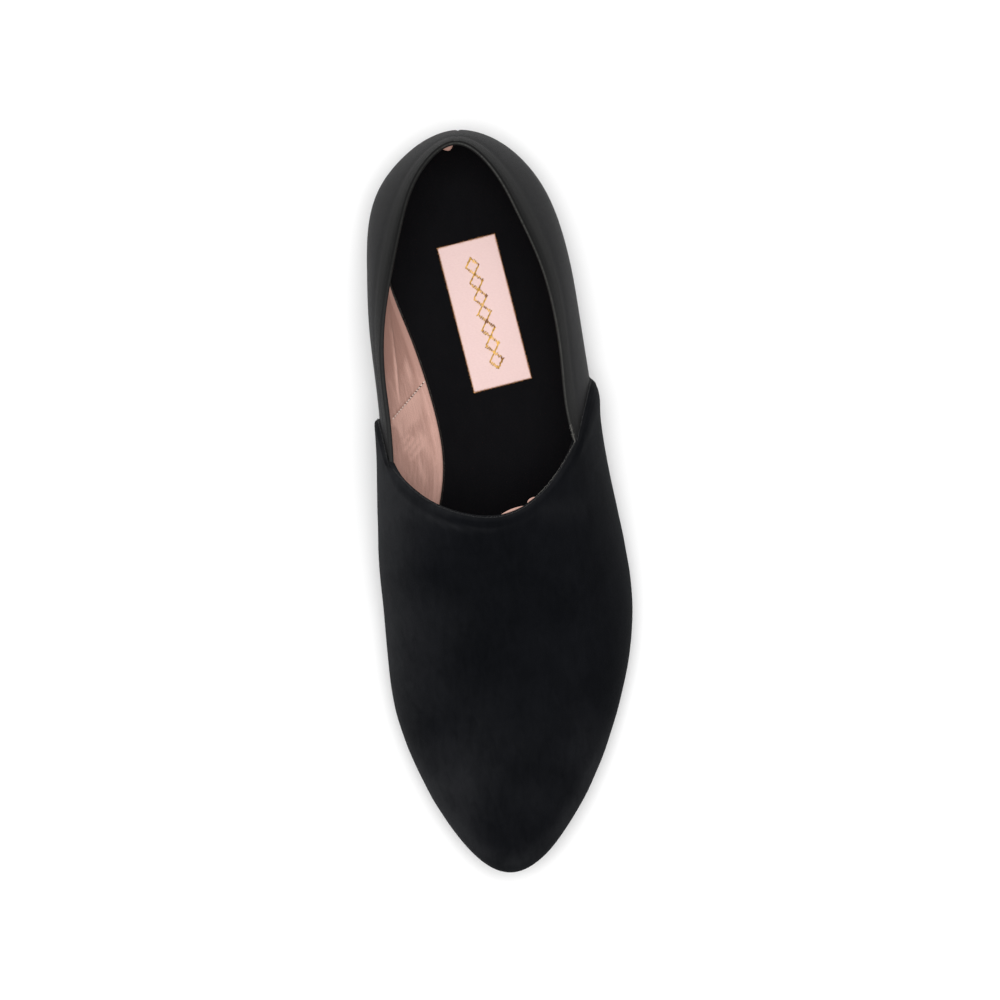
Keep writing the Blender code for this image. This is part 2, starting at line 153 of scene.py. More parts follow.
# %% Curve helpers
def spline(knots, values, at):
    """A natural cubic spline through rows of values, read at the places given."""
    knots = np.asarray(knots, float)
    values = np.asarray(values, float)
    steps = np.diff(knots)
    rises = (np.diff(values, axis=0).T / steps).T
    system = np.zeros((len(knots), len(knots)))
    target = np.zeros_like(values)
    system[0, :2] = 2, 1
    system[-1, -2:] = 1, 2
    target[0] = 3 * rises[0]
    target[-1] = 3 * rises[-1]
    for i in range(1, len(knots) - 1):
        before, after = steps[i - 1], steps[i]
        system[i, i - 1 : i + 2] = after, 2 * (before + after), before
        target[i] = 3 * (after * rises[i - 1] + before * rises[i])
    slopes = np.linalg.solve(system, target.reshape(len(knots), -1)).reshape(target.shape)
    at = np.asarray(at, float)
    i = np.clip(np.searchsorted(knots, at) - 1, 0, len(steps) - 1)
    columns = at.shape + (1,) * (values.ndim - 1)
    step = steps[i].reshape(columns)
    t = (at - knots[i]).reshape(columns) / step
    ends = values[i] * (1 + 2 * t) * (1 - t) ** 2 + values[i + 1] * t * t * (3 - 2 * t)
    return ends + step * (slopes[i] * t * (1 - t) ** 2 - slopes[i + 1] * t * t * (1 - t))


def ease(place, start, end):
    """0 before start, 1 after end, and a soft step between them."""
    t = np.clip((place - start) / (end - start), 0, 1)
    return t * t * (3 - 2 * t)


def lengths(line):
    """The length along a polyline at each of its points."""
    return np.concatenate([[0.0], np.cumsum(np.linalg.norm(np.diff(line, axis=0), axis=1))])


def unit(vectors):
    """Vectors of length 1 in the same directions."""
    return vectors / np.linalg.norm(vectors, axis=-1, keepdims=True)


def smooth_line(points):
    along = lengths(np.asarray(points, float))
    return spline(along, points, np.linspace(0, along[-1], FINE))


def smooth_loop(points):
    points = np.asarray(points, float)
    wrapped = np.vstack([points[-LAP:], points, points[: LAP + 1]])
    along = lengths(wrapped)
    return spline(along, wrapped, np.linspace(along[LAP], along[LAP + len(points)], FINE))


def moved_out(loop, distance):
    """A loop that runs heel, lateral side, toe, medial side, moved outwards by a distance at each point."""
    ahead = np.gradient(loop, axis=0)
    ahead[[0, -1]] = loop[1] - loop[-2]
    ahead = unit(ahead)
    outward = np.stack([-ahead[:, 1], ahead[:, 0]], -1)
    return loop + outward * np.broadcast_to(distance, len(loop))[:, None]


def side_offsets(loop, station):
    """The lateral and the medial offset of a loop at a station."""
    toe = np.argmax(loop[:, 0])
    lateral, medial = loop[: toe + 1], loop[toe:][::-1]
    return np.interp(station, *lateral.T), np.interp(station, *medial.T)


print("battens: natural splines, read at", FINE, "places a line")


# %% The last's loops
def side_points(rows, side, sign):
    """Stations and offsets in millimetres of one side of a table."""
    return [(row.station * LENGTH / 100, sign * getattr(row, side) * BALL_WIDTH / 100) for row in rows]


def section_loop(lateral, medial, heel, toe):
    out, back = side_points(SECTIONS, lateral, 1), side_points(SECTIONS, medial, -1)
    return smooth_loop([(heel, 0.0), *out, (toe, 0.0), *back[::-1]])


def mark_lengths(loop, lateral_station, medial_station):
    """Lengths along a loop at the lateral ear, the toe and the medial ear."""
    along = lengths(loop)
    toe = np.argmax(loop[:, 0])
    lateral = np.interp(lateral_station, loop[: toe + 1, 0], along[: toe + 1])
    medial = np.interp(-medial_station, -loop[toe:, 0], along[toe:])
    return lateral, along[toe], medial


def throat_line(ear):
    share = np.linspace(1, 0, FINE)
    offset = THROAT_MIDDLE[1] + (ear[1] - THROAT_MIDDLE[1]) * share
    station = THROAT_MIDDLE[0] + (ear[0] - THROAT_MIDDLE[0]) * share**THROAT_CURVE
    return np.stack([station, offset], -1)


def collar_loop():
    """The closed line of the collar and throat, and its lengths at the ears and the throat's middle."""
    lateral, medial = side_points(COLLARS, "lateral", 1), side_points(COLLARS, "medial", -1)
    rim = smooth_line([EAR_MEDIAL, *medial[::-1], COLLAR_HEEL, *lateral, EAR_LATERAL])
    heel = np.argmin(np.linalg.norm(rim - COLLAR_HEEL, axis=1))
    throat_out, throat_back = throat_line(EAR_LATERAL), throat_line(EAR_MEDIAL)[::-1]
    parts = (rim[heel:], throat_out[1:], throat_back[1:], rim[1 : heel + 1])
    loop = np.vstack(parts)
    ends = np.cumsum([len(part) for part in parts]) - 1
    return loop, lengths(loop)[ends[:3]]


LAST_HEEL = WALL
LAST_TOE = LENGTH - WALL - GAP - VELVET
SWELL_LOOP = section_loop("lateral", "medial", LAST_HEEL, LAST_TOE)
FEATHER_LOOP = section_loop(
    "feather_lateral", "feather_medial", LAST_HEEL + FEATHER_INSET, LAST_TOE - FEATHER_INSET
)
COLLAR_LOOP, COLLAR_MARKS = collar_loop()
SWELL_MARKS = mark_lengths(SWELL_LOOP, EAR_SWELL_LATERAL, EAR_SWELL_MEDIAL)
FEATHER_MARKS = mark_lengths(FEATHER_LOOP, EAR_FOOT_LATERAL, EAR_FOOT_MEDIAL)
for line, loop in (("swell line", SWELL_LOOP), ("collar and throat", COLLAR_LOOP)):
    print(f"{line}: {lengths(loop)[-1]:.0f} mm round")

# %% [markdown]
# ## The last's surface
#
# Ribs climb from the feather line over the swell to the collar, and rows run round the shoe. A place on the
# last is a rib number and a row number, and both may be fractions: the solids use whole numbers, and each
# piece here picks its own, closer together where an edge rolls over or a seam pulls in.

# %% Heights of the last
def feather_height(station):
    lift = HEEL_LIFT * (1 - ease(station, ARCH_START, ARCH_END))
    ahead = np.clip((station - TREAD_END) / (LAST_TOE - TREAD_END), 0, None)
    return SOLE_THICK + GAP + lift + TOE_SPRING * ahead**SPRING_CURVE


def swell_height(station, lateral):
    places = [row.station * LENGTH / 100 for row in SECTIONS]
    rises = [
        np.interp(station, places, [getattr(row, side) * INSTEP / 100 for row in SECTIONS])
        for side in ("swell_lateral", "swell_medial")
    ]
    return feather_height(station) + np.where(lateral, *rises)


def ridge_height(station):
    rows = [(row.station * LENGTH / 100, row.height * INSTEP / 100) for row in RIDGES]
    return spline(*np.transpose(rows), station)


def last_height(station, offset):
    lateral = offset > 0
    share = np.clip(offset / np.where(lateral, *side_offsets(SWELL_LOOP, station)), 0, 1)
    square, bow = (np.where(lateral, *pair) for pair in zip(CROWN_LATERAL, CROWN_MEDIAL))
    crown = (1 - share**square) ** (1 / bow)
    ahead = np.clip(1 - (LAST_TOE - station) / TOE_ROUND, 0, 1)
    low = swell_height(station, lateral)
    return low + (ridge_height(station) - low) * np.sqrt(1 - ahead**2) * crown


def collar_height(station):
    rows = [(row.station * LENGTH / 100, row.height * HEEL_BACK / 100) for row in COLLARS]
    return spline(*np.transpose([(COLLAR_HEEL[0], HEEL_BACK), *rows]), station)


print(f"the feather line lies {feather_height(0.0):.1f} mm over the floor at the heel")


# %% Places on the last
def along_loop(loop, marks, ribs):
    """Points of a loop at rib numbers: four spans, closer together at the heel and the toe."""
    along = lengths(loop)
    stops = np.array([0.0, *marks, along[-1]])
    firsts = np.cumsum((0, *RIB_COUNTS))
    span = np.clip(np.searchsorted(firsts, ribs, side="right") - 1, 0, len(RIB_COUNTS) - 1)
    share = (ribs - firsts[span]) / np.array(RIB_COUNTS)[span]
    share = np.where(span % 2 == 0, share**RIB_CROWDING, 1 - (1 - share) ** RIB_CROWDING)
    place = stops[span] + (stops[span + 1] - stops[span]) * share
    return np.stack([np.interp(place, along, loop[:, i]) for i in (0, 1)], -1)


def last_points(ribs, rows):
    """The last's surface at rib numbers by row numbers, as stations, offsets and heights."""
    ribs, rows = np.asarray(ribs, float), np.asarray(rows, float)
    feather = along_loop(FEATHER_LOOP, FEATHER_MARKS, ribs)
    swell = along_loop(SWELL_LOOP, SWELL_MARKS, ribs)
    collar = along_loop(COLLAR_LOOP, COLLAR_MARKS, ribs)
    feather_z = feather_height(feather[:, 0])
    swell_z = swell_height(swell[:, 0], swell[:, 1] > 0)
    rise = np.clip(rows / LOW_ROWS, 0, 1)
    climb = np.clip((rows - LOW_ROWS) / HIGH_ROWS, 0, 1)
    flare = 1 - (1 - rise) ** SIDE_CURVE
    low = feather[:, None] + (swell - feather)[:, None] * flare[None, :, None]
    low_z = feather_z[:, None] + (swell_z - feather_z)[:, None] * rise
    high = swell[:, None] + (collar - swell)[:, None] * (climb**2)[None, :, None]
    on_last = last_height(high[..., 0], high[..., 1])
    even = swell_z[:, None] + (collar_height(collar[:, 0]) - swell_z)[:, None] * climb
    from_heel = np.minimum(ribs, RIBS - ribs) / QUARTER_RIBS
    share = ease(from_heel, *QUARTER_BLEND)[:, None]
    high_z = np.where(from_heel[:, None] >= 1, on_last, (1 - share) * even + share * on_last)
    is_low = rows < LOW_ROWS
    plan = np.where(is_low[None, :, None], low, high)
    height = np.where(is_low[None, :], low_z, high_z)
    return np.concatenate([plan, height[..., None]], axis=-1)


def outward_directions(grid):
    ahead = np.roll(grid, -1, axis=0)
    faces = unit(np.cross(grid[:, 1:] - ahead[:, :-1], ahead[:, 1:] - grid[:, :-1]))
    faces = faces + np.roll(faces, 1, axis=0)
    outward = np.zeros_like(grid)
    outward[:, :-1] += faces
    outward[:, 1:] += faces
    for _ in range(SOFTENING):
        rows = np.pad(outward, ((0, 0), (1, 1), (0, 0)), mode="edge")
        outward = 2 * outward + np.roll(outward, 1, axis=0) + np.roll(outward, -1, axis=0)
        outward = unit(outward + (rows[:, :-2] + rows[:, 2:]))
    return outward


DIRECTIONS = outward_directions(last_points(np.arange(RIBS), np.arange(ROWS + 1)))


def outward_at(ribs, rows):
    """Outward directions at rib numbers by row numbers, read smoothly from those of the solids."""
    wrapped = np.concatenate([DIRECTIONS[-LAP:], DIRECTIONS, DIRECTIONS[: LAP + 1]])
    by_rib = spline(np.arange(-LAP, RIBS + LAP + 1), wrapped, ribs)
    by_row = spline(np.arange(ROWS + 1), np.moveaxis(by_rib, 1, 0), rows)
    return unit(np.moveaxis(by_row, 0, 1))


def layer(grid, outward, rows, distance):
    """A grid moved outwards by a distance at each point. Below the swell it moves along the sole."""
    distance = np.broadcast_to(distance, grid.shape[:2])[..., None]
    moved = grid + outward * distance
    low = np.asarray(rows) < LOW_ROWS
    level = outward[:, low, :2]
    steep = np.sum(level**2, axis=-1, keepdims=True)
    moved[:, low, :2] = grid[:, low, :2] + level * distance[:, low] / steep
    moved[:, low, 2] = grid[:, low, 2] + feather_height(moved[:, low, 0]) - feather_height(grid[:, low, 0])
    return moved


print("last:", RIBS, "ribs by", ROWS + 1, "rows carry the outward directions")

# %% [markdown]
# ## From grids to meshes
#
# Each cloth or leather piece is a wall between two grids. The grids give the mesh its UV map too, in metres
# along the ribs and rows, so weave and grain keep their true size wherever the piece bends.

# %% Mesh helpers
MM = 0.001


def to_frame(points):
    """Stations, offsets and heights in millimetres, as X, Y and Z in metres."""
    station, offset, height = np.moveaxis(np.asarray(points, float), -1, 0)
    return np.stack([offset + SHIFT_X, LENGTH / 2 - station + SHIFT_Y, height], -1) * MM


def grid_faces(ribs, rows, closed, start, turned):
    """Faces over a grid of ribs by rows, as rows of four vertex numbers."""
    i, j = np.meshgrid(np.arange(ribs if closed else ribs - 1), np.arange(rows - 1), indexing="ij")
    ahead = (i + 1) % ribs
    corners = [i * rows + j, ahead * rows + j, ahead * rows + j + 1, i * rows + j + 1]
    faces = np.stack(corners, -1).reshape(-1, 4) + start
    return faces[:, ::-1] if turned else faces


def wall_faces(ribs, rows, closed):
    """Faces of a wall: an outer and an inner grid, the rims between them, and the ends of an open wall."""
    count = ribs * rows
    faces = [grid_faces(ribs, rows, closed, 0, False), grid_faces(ribs, rows, closed, count, True)]
    spans = np.arange(ribs if closed else ribs - 1)
    ahead = (spans + 1) % ribs
    for row, turned in ((rows - 1, False), (0, True)):
        a, b = spans * rows + row, ahead * rows + row
        rim = np.stack([a, b, b + count, a + count], -1)
        faces.append(rim[:, ::-1] if turned else rim)
    if not closed:
        steps = np.arange(rows - 1)
        for rib, turned in ((0, False), (ribs - 1, True)):
            a = rib * rows + steps
            end = np.stack([a, a + 1, a + 1 + count, a + count], -1)
            faces.append(end[:, ::-1] if turned else end)
    return np.vstack(faces)


def put_in_scene(name, data):
    """A new object at the origin that holds a mesh, a light or a camera."""
    thing = bpy.data.objects.new(name, data)
    bpy.context.scene.collection.objects.link(thing)
    return thing


def new_piece(name, points, faces, uv=None, marks=None):
    """A smooth object from points in metres, with a UV pair and named values for each point if given."""
    mesh = bpy.data.meshes.new(name)
    mesh.from_pydata(points.tolist(), [], faces)
    if uv is not None:
        loops = np.empty(len(mesh.loops), int)
        mesh.loops.foreach_get("vertex_index", loops)
        mesh.uv_layers.new(name="cloth").data.foreach_set("uv", np.asarray(uv, float)[loops].ravel())
    for mark, values in (marks or {}).items():
        carried = mesh.attributes.new(mark, "FLOAT", "POINT")
        carried.data.foreach_set("value", np.asarray(values, float).ravel())
    mesh.shade_smooth()
    return put_in_scene(name, mesh)


def point_outwards(piece):
    """Turn all faces of a closed piece outwards if its volume comes out negative."""
    mesh = piece.data
    mesh.calc_loop_triangles()
    points = np.array([vertex.co for vertex in mesh.vertices])
    corners = points[np.array([triangle.vertices for triangle in mesh.loop_triangles])]
    volume = np.einsum("ij,ij->i", corners[:, 0], np.cross(corners[:, 1], corners[:, 2])).sum() / 6
    if volume < 0:
        mesh.flip_normals()
    print(f"{piece.name}: {len(corners)} triangles, {abs(volume) * 1e6:.1f} cm3")


def above_sole(grid):
    """For each point of a grid, the length along its rib from the lowest row."""
    steps = np.linalg.norm(np.diff(grid, axis=1), axis=-1)
    return np.concatenate([np.zeros((len(grid), 1)), np.cumsum(steps, axis=1)], axis=1)


def below_edge(grid):
    """For each point of a grid, the length along its rib up to the upper edge."""
    return above_sole(grid[:, ::-1])[:, ::-1]


def surface_uv(grid):
    """Metres along the middle row and along each rib."""
    middle = grid[:, grid.shape[1] // 2]
    u = np.broadcast_to(lengths(middle)[:, None], grid.shape[:2])
    return np.stack([u, above_sole(grid)], -1).reshape(-1, 2) * MM


def two_sides(outer, inner):
    """The points of an outer and an inner grid, in metres, as one list."""
    return np.vstack([to_frame(outer).reshape(-1, 3), to_frame(inner).reshape(-1, 3)])


def wall_piece(name, outer, inner, closed, **marks):
    """A wall between two grids that carries named values, such as the distance from its free edge."""
    uv = surface_uv(outer)
    faces = wall_faces(*outer.shape[:2], closed).tolist()
    carried = {mark: np.stack([values, values]) for mark, values in marks.items()}
    piece = new_piece(name, two_sides(outer, inner), faces, np.vstack([uv, uv]), carried)
    point_outwards(piece)
    return piece


def rolled(distance, radius):
    """A share from 0 at an edge to 1 at one radius from it, on a quarter circle."""
    return np.sqrt(1 - (1 - np.clip(distance / radius, 0, 1)) ** 2)


def bump(distance, place, width):
    """A soft hump, 1 at its place."""
    return np.exp(-(((distance - place) / width) ** 2))


def crowded_rows(low, high, power):
    """Row numbers: even below the swell, closer together towards the upper edge."""
    up = 1 - (1 - np.arange(high + 1) / high) ** power
    return np.concatenate([np.linspace(0, LOW_ROWS, low, endpoint=False), LOW_ROWS + HIGH_ROWS * up])


print("mesh helpers ready")

# %% [markdown]
# ## Finishes
#
# Three effects serve several finishes, so each is a node group: the nap of velvet, with soft patches where
# the pile lies another way; the weave of satin and tape; and the grain of leather. A group only gives
# values that change over the surface. Sheen, gloss and the like stay the same all over a cloth, so they are
# set on the shader itself.

# %% Node helpers
COLOUR_A, COLOUR_B, COLOUR_OUT = 6, 7, 2
NOISE_SPAN = (0.3, 0.7)


def add_node(tree, kind, inputs=None, **settings):
    """A node with its settings, and with a link or a value in each input that is named."""
    node = tree.nodes.new(kind)
    for name, value in settings.items():
        setattr(node, name, value)
    for name, value in (inputs or {}).items():
        if hasattr(value, "is_output"):
            tree.links.new(value, node.inputs[name])
        else:
            node.inputs[name].default_value = value
    return node


def add_socket(tree, direction, label, kind, value=None):
    socket = tree.interface.new_socket(label, in_out=direction, socket_type="NodeSocket" + kind)
    if value is not None:
        socket.default_value = value


def new_group(name, inputs, outputs):
    """An effect: a shader group, what it is given and what it puts out."""
    group = bpy.data.node_groups.new(name, "ShaderNodeTree")
    for socket in inputs:
        add_socket(group, "INPUT", *socket)
    for label in outputs:
        add_socket(group, "OUTPUT", label, "Float")
    return group, group.nodes.new("NodeGroupInput").outputs, group.nodes.new("NodeGroupOutput").inputs


def ramp(tree, value, low, high, out_low=0.0, out_high=1.0):
    """A value stretched from one range to another and held at its ends."""
    inputs = {"Value": value, "From Min": low, "From Max": high, "To Min": out_low, "To Max": out_high}
    return add_node(tree, "ShaderNodeMapRange", inputs).outputs["Result"]


def mixed(tree, factor, first, second):
    """A colour between two, each of them a node's colour or three numbers."""
    first, second = (c if hasattr(c, "is_output") else (*c, 1.0) for c in (first, second))
    inputs = {"Factor": factor, COLOUR_A: first, COLOUR_B: second}
    return add_node(tree, "ShaderNodeMix", inputs, data_type="RGBA").outputs[COLOUR_OUT]


def math(tree, operation, first, second=0.0):
    return add_node(tree, "ShaderNodeMath", {0: first, 1: second}, operation=operation).outputs[0]


def blended(tree, first, second, share):
    """Two values added, the second by its share and the first by what is left."""
    rest = math(tree, "MULTIPLY", first, 1 - share)
    return math(tree, "ADD", rest, math(tree, "MULTIPLY", second, share))


def noise(tree, vector, scale, detail, **more):
    inputs = {"Vector": vector, "Scale": scale, "Detail": detail, **more}
    return add_node(tree, "ShaderNodeTexNoise", inputs).outputs


def stretched(tree, vector, scale, turn=0.0):
    inputs = {"Vector": vector, "Scale": scale, "Rotation": (0, 0, turn)}
    return add_node(tree, "ShaderNodeMapping", inputs).outputs[0]


print("node helpers: values, colours, noise and groups")


# %% Nap, weave and grain
def nap_group():
    """Velvet: slow patches of pile, streaks where it was stroked, and single fibres."""
    inputs = [("Vector", "Vector"), ("Patch Scale", "Float", 45.0), ("Fibre Scale", "Float", 2600.0)]
    group, given, out = new_group("nap", inputs, ("Patch", "Streak", "Fibre"))
    patch = noise(group, given["Vector"], given["Patch Scale"], 4.0, Roughness=0.6)
    stroke = stretched(group, given["Vector"], (1.0, 0.35, 0.6), turn=0.35)
    streak = noise(group, stroke, 420.0, 3.0, Distortion=0.6)
    fibre = noise(group, given["Vector"], given["Fibre Scale"], 2.0)
    group.links.new(ramp(group, patch[0], 0.34, 0.66), out["Patch"])
    group.links.new(ramp(group, streak[0], *NOISE_SPAN), out["Streak"])
    group.links.new(fibre[0], out["Fibre"])
    return group


def weave_group():
    """Threads that cross: Over is 1 where the warp lies on top, Slub is how uneven the threads are."""
    inputs = [
        ("Vector", "Vector"),
        ("Warp Pitch", "Float", 0.0005),
        ("Weft Pitch", "Float", 0.0005),
        ("Slub Scale", "Float", 1100.0),
        ("Slub Stretch", "Vector", (1.0, 2.2, 1.0)),
    ]
    group, given, out = new_group("weave", inputs, ("Height", "Over", "Slub"))
    parts = add_node(group, "ShaderNodeSeparateXYZ", {0: given["Vector"]}).outputs
    across = math(group, "DIVIDE", parts[0], given["Warp Pitch"])
    along = math(group, "DIVIDE", parts[1], given["Weft Pitch"])
    warp = math(group, "ABSOLUTE", math(group, "SINE", math(group, "MULTIPLY", across, np.pi)))
    weft = math(group, "ABSOLUTE", math(group, "SINE", math(group, "MULTIPLY", along, np.pi)))
    step = math(group, "ADD", math(group, "FLOOR", across), math(group, "FLOOR", along))
    over = math(group, "GREATER_THAN", math(group, "FRACT", math(group, "MULTIPLY", step, 0.5)), 0.25)
    lifted = math(group, "MULTIPLY", warp, over)
    sunk = math(group, "MULTIPLY", weft, math(group, "SUBTRACT", 1.0, over))
    long_thread = stretched(group, given["Vector"], given["Slub Stretch"])
    slub = noise(group, long_thread, given["Slub Scale"], 3.0, Roughness=0.6)
    group.links.new(math(group, "ADD", lifted, sunk), out["Height"])
    group.links.new(over, out["Over"])
    group.links.new(ramp(group, slub[0], *NOISE_SPAN), out["Slub"])
    return group


def grain_group():
    """Leather: pebbles with fine creases between them, and slow patches of colour."""
    inputs = [("Vector", "Vector"), ("Pebble Scale", "Float", 1200.0), ("Patch Scale", "Float", 60.0)]
    group, given, out = new_group("grain", inputs, ("Height", "Patch"))
    warped = noise(group, given["Vector"], 300.0, 2.0)
    sway = add_node(group, "ShaderNodeVectorMath", {0: warped[1], "Scale": 0.0012}, operation="SCALE")
    moved = add_node(group, "ShaderNodeVectorMath", {0: given["Vector"], 1: sway.outputs[0]}, operation="ADD")
    cells = {"Vector": moved.outputs[0], "Scale": given["Pebble Scale"]}
    pebble = add_node(group, "ShaderNodeTexVoronoi", cells, feature="DISTANCE_TO_EDGE").outputs
    patch = noise(group, given["Vector"], given["Patch Scale"], 4.0)
    group.links.new(ramp(group, pebble[0], 0.0, 0.25), out["Height"])
    group.links.new(ramp(group, patch[0], 0.32, 0.68), out["Patch"])
    return group


NAP, WEAVE, GRAIN = nap_group(), weave_group(), grain_group()
print("effects:", NAP.name, WEAVE.name, GRAIN.name)


# %% Finish helpers
def spaced(values):
    """Keyword names as socket names."""
    return {name.replace("_", " "): value for name, value in values.items()}


def new_finish(name, **constants):
    """A material with a Principled shader, its constant sockets set, and its texture coordinates."""
    material = bpy.data.materials.new(name)
    material.use_nodes = True
    tree = material.node_tree
    shader = tree.nodes["Principled BSDF"]
    for socket, value in spaced(constants).items():
        shader.inputs[socket].default_value = value
    return material, tree, shader, tree.nodes.new("ShaderNodeTexCoord").outputs


def effect(tree, group, vector, **values):
    return add_node(tree, "ShaderNodeGroup", {"Vector": vector, **spaced(values)}, node_tree=group).outputs


def feed(tree, shader, **values):
    """Link values that change over the piece to the shader's sockets."""
    for socket, value in spaced(values).items():
        tree.links.new(value, shader.inputs[socket])


def bumped(tree, height, strength, distance):
    inputs = {"Height": height, "Strength": strength, "Distance": distance}
    return add_node(tree, "ShaderNodeBump", inputs).outputs[0]


def mark_value(tree, name):
    """A value that the piece's points carry. A piece without it gives 0."""
    return add_node(tree, "ShaderNodeAttribute", attribute_name=name).outputs["Fac"]


def edge_share(tree, near, far):
    """1 at a piece's free edge and 0 inside it, from the distance that its points carry in millimetres."""
    return ramp(tree, mark_value(tree, "edge"), near, far, 1.0, 0.0)


def dress(piece, material, node):
    """Give a piece its material and tell the frame what it rides on and replaces."""
    piece.data.materials.clear()
    piece.data.materials.append(material)
    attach(piece, "root")
    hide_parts(node)
    return piece


print("finish helpers: effects, links, bumps and marks")

# %% [markdown]
# ## Velvet
#
# Velvet is dark because light sinks into its pile, and paler where the pile was brushed flat. Hair strands
# would show that, but millions of them are heavy for a part. A rough shader with a little sheen does it
# here: the nap effect gives the patches, and a value that the points carry mixes in a paler colour, both for
# brushed pile and for painted light, such as the lighter inner side of the vamp and a sheen round the toe.

# %% Velvet
STREAK_SHARE = 0.4
LAY_AND_LIGHT_RANGE = (0.35, 1.15)
FIBRE_BUMP = (0.4, 0.0003)
PILE = dict(Roughness=1.0, Specular_IOR_Level=0.02, Sheen_Roughness=0.45)


def velvet_finish(name, deep, lit, brushed_and_lit, sheen, tint):
    material, tree, shader, place = new_finish(name, Sheen_Weight=sheen, Sheen_Tint=tint, **PILE)
    nap = effect(tree, NAP, place["Object"])
    shade = blended(tree, nap["Patch"], nap["Streak"], STREAK_SHARE)
    # The points' value mixes in the paler colour, for brushed pile and for painted light alike.
    lay = math(tree, "MULTIPLY", mark_value(tree, "lay"), ramp(tree, shade, 0.0, 1.0, *LAY_AND_LIGHT_RANGE))
    cloth = mixed(tree, lay, mixed(tree, shade, deep, lit), brushed_and_lit)
    feed(tree, shader, Base_Color=cloth, Normal=bumped(tree, nap["Fibre"], *FIBRE_BUMP))
    return material


VAMP_VELVET = velvet_finish(
    "vamp_velvet",
    deep=(0.0026, 0.0029, 0.0037),
    lit=(0.0049, 0.0053, 0.0066),
    brushed_and_lit=(0.0152, 0.0157, 0.0173),
    sheen=0.021,
    tint=(0.93, 0.96, 1.0, 1),
)
INSOLE_VELVET = velvet_finish(
    "insole_velvet",
    deep=(0.0048, 0.0048, 0.0056),
    lit=(0.0062, 0.0062, 0.0071),
    brushed_and_lit=(0.0062, 0.0062, 0.0071),
    sheen=0.003,
    tint=(0.9, 0.9, 0.95, 1),
)
print("velvets:", VAMP_VELVET.name, INSOLE_VELVET.name)

# %% [markdown]
# ## Satin
#
# The quarters are charcoal satin, a smooth cloth with a fine, low grain. A tiled picture would repeat and
# blur close by, so the weave effect draws the threads in the cloth's own metres. The distance from the
# collar, which the points carry, paints shade on the turned band, a deeper painted shade at its edge towards
# the heel, and a paler line along the rim, more on the outer side.

# %% Satin
FOLD_PLACE = 9.0
BAND_SPAN = (FOLD_PLACE - 3.0, FOLD_PLACE + 2.0)
TURN_SHADE_SPAN = (2.0, 4.0)
PALE_RIM_SPAN = (0.0, 0.12)
SATIN_DARK, SATIN_LIGHT = (0.0125, 0.0125, 0.013), (0.0275, 0.0275, 0.0285)
BAND_SHADE_GREY, TURN_SHADE_BLACK = (0.019, 0.019, 0.019), (0.009, 0.009, 0.009)
PALE_RIM_GREY, PALE_RIM_RANGE = (0.06, 0.061, 0.057), (0.3, 1.0)
SATIN_SLUB_SHARE = 0.65
WEAVE_ROUGH = (0.62, 0.5)
SATIN_BUMP = (0.3, 0.0001)
SATIN_WEAVE = dict(Warp_Pitch=0.00022, Weft_Pitch=0.0003, Slub_Scale=2400.0, Slub_Stretch=(1.0, 0.3, 1.0))
SATIN_SHEEN = dict(Sheen_Weight=0.004, Sheen_Roughness=0.4, Sheen_Tint=(0.7, 0.7, 0.72, 1))


def satin_finish():
    material, tree, shader, place = new_finish("charcoal_satin", Specular_IOR_Level=0.03, **SATIN_SHEEN)
    weave = effect(tree, WEAVE, place["UV"], **SATIN_WEAVE)
    shade = blended(tree, weave["Over"], weave["Slub"], SATIN_SLUB_SHARE)
    # Painted shade on the turned band below the collar.
    cloth = mixed(tree, edge_share(tree, *BAND_SPAN), mixed(tree, shade, SATIN_DARK, SATIN_LIGHT), BAND_SHADE_GREY)
    # Painted shade on the roll at the collar's very edge, strongest at the heel, where the turned value is
    # high.
    turned = math(tree, "MULTIPLY", edge_share(tree, *TURN_SHADE_SPAN), mark_value(tree, "turned"))
    cloth = mixed(tree, turned, cloth, TURN_SHADE_BLACK)
    # A paler line along the collar's very edge, more on the outer side and patchy with the slub.
    worn = math(tree, "MULTIPLY", edge_share(tree, *PALE_RIM_SPAN), mark_value(tree, "rim"))
    worn = math(tree, "MULTIPLY", worn, ramp(tree, weave["Slub"], 0.1, 0.9, *PALE_RIM_RANGE))
    cloth = mixed(tree, worn, cloth, PALE_RIM_GREY)
    rough = ramp(tree, weave["Over"], 0, 1, *WEAVE_ROUGH)
    feed(tree, shader, Base_Color=cloth, Roughness=rough, Normal=bumped(tree, weave["Height"], *SATIN_BUMP))
    return material


SATIN = satin_finish()
print("satin:", SATIN.name)

# %% [markdown]
# ## Leather
#
# The lining is thin pink leather with fine folds along it, and painted shade darkens it towards the heel. The
# sole is dark leather with a coarser grain. Sculpting every pebble would take millions of faces, so a bump
# carries the grain, and the lining's points carry how far a crease stands up, which paints a highlight on its
# ridge and shade where it dips.

# %% Leather
PATCH_SHARE = 0.65
GRAIN_ROUGH, GRAIN_BUMP = 0.12, 0.4
FOLD_STRETCH, FOLD_SCALE, FOLD_RELIEF = (1.0, 9.0, 1.0), 110.0, 2.0
CREASE_LIGHT_FROM, CREASE_LIGHT_TO = (-0.16, 0.28), (-0.55, 0.9)
HEEL_SHADE_DEPTH = 1.1


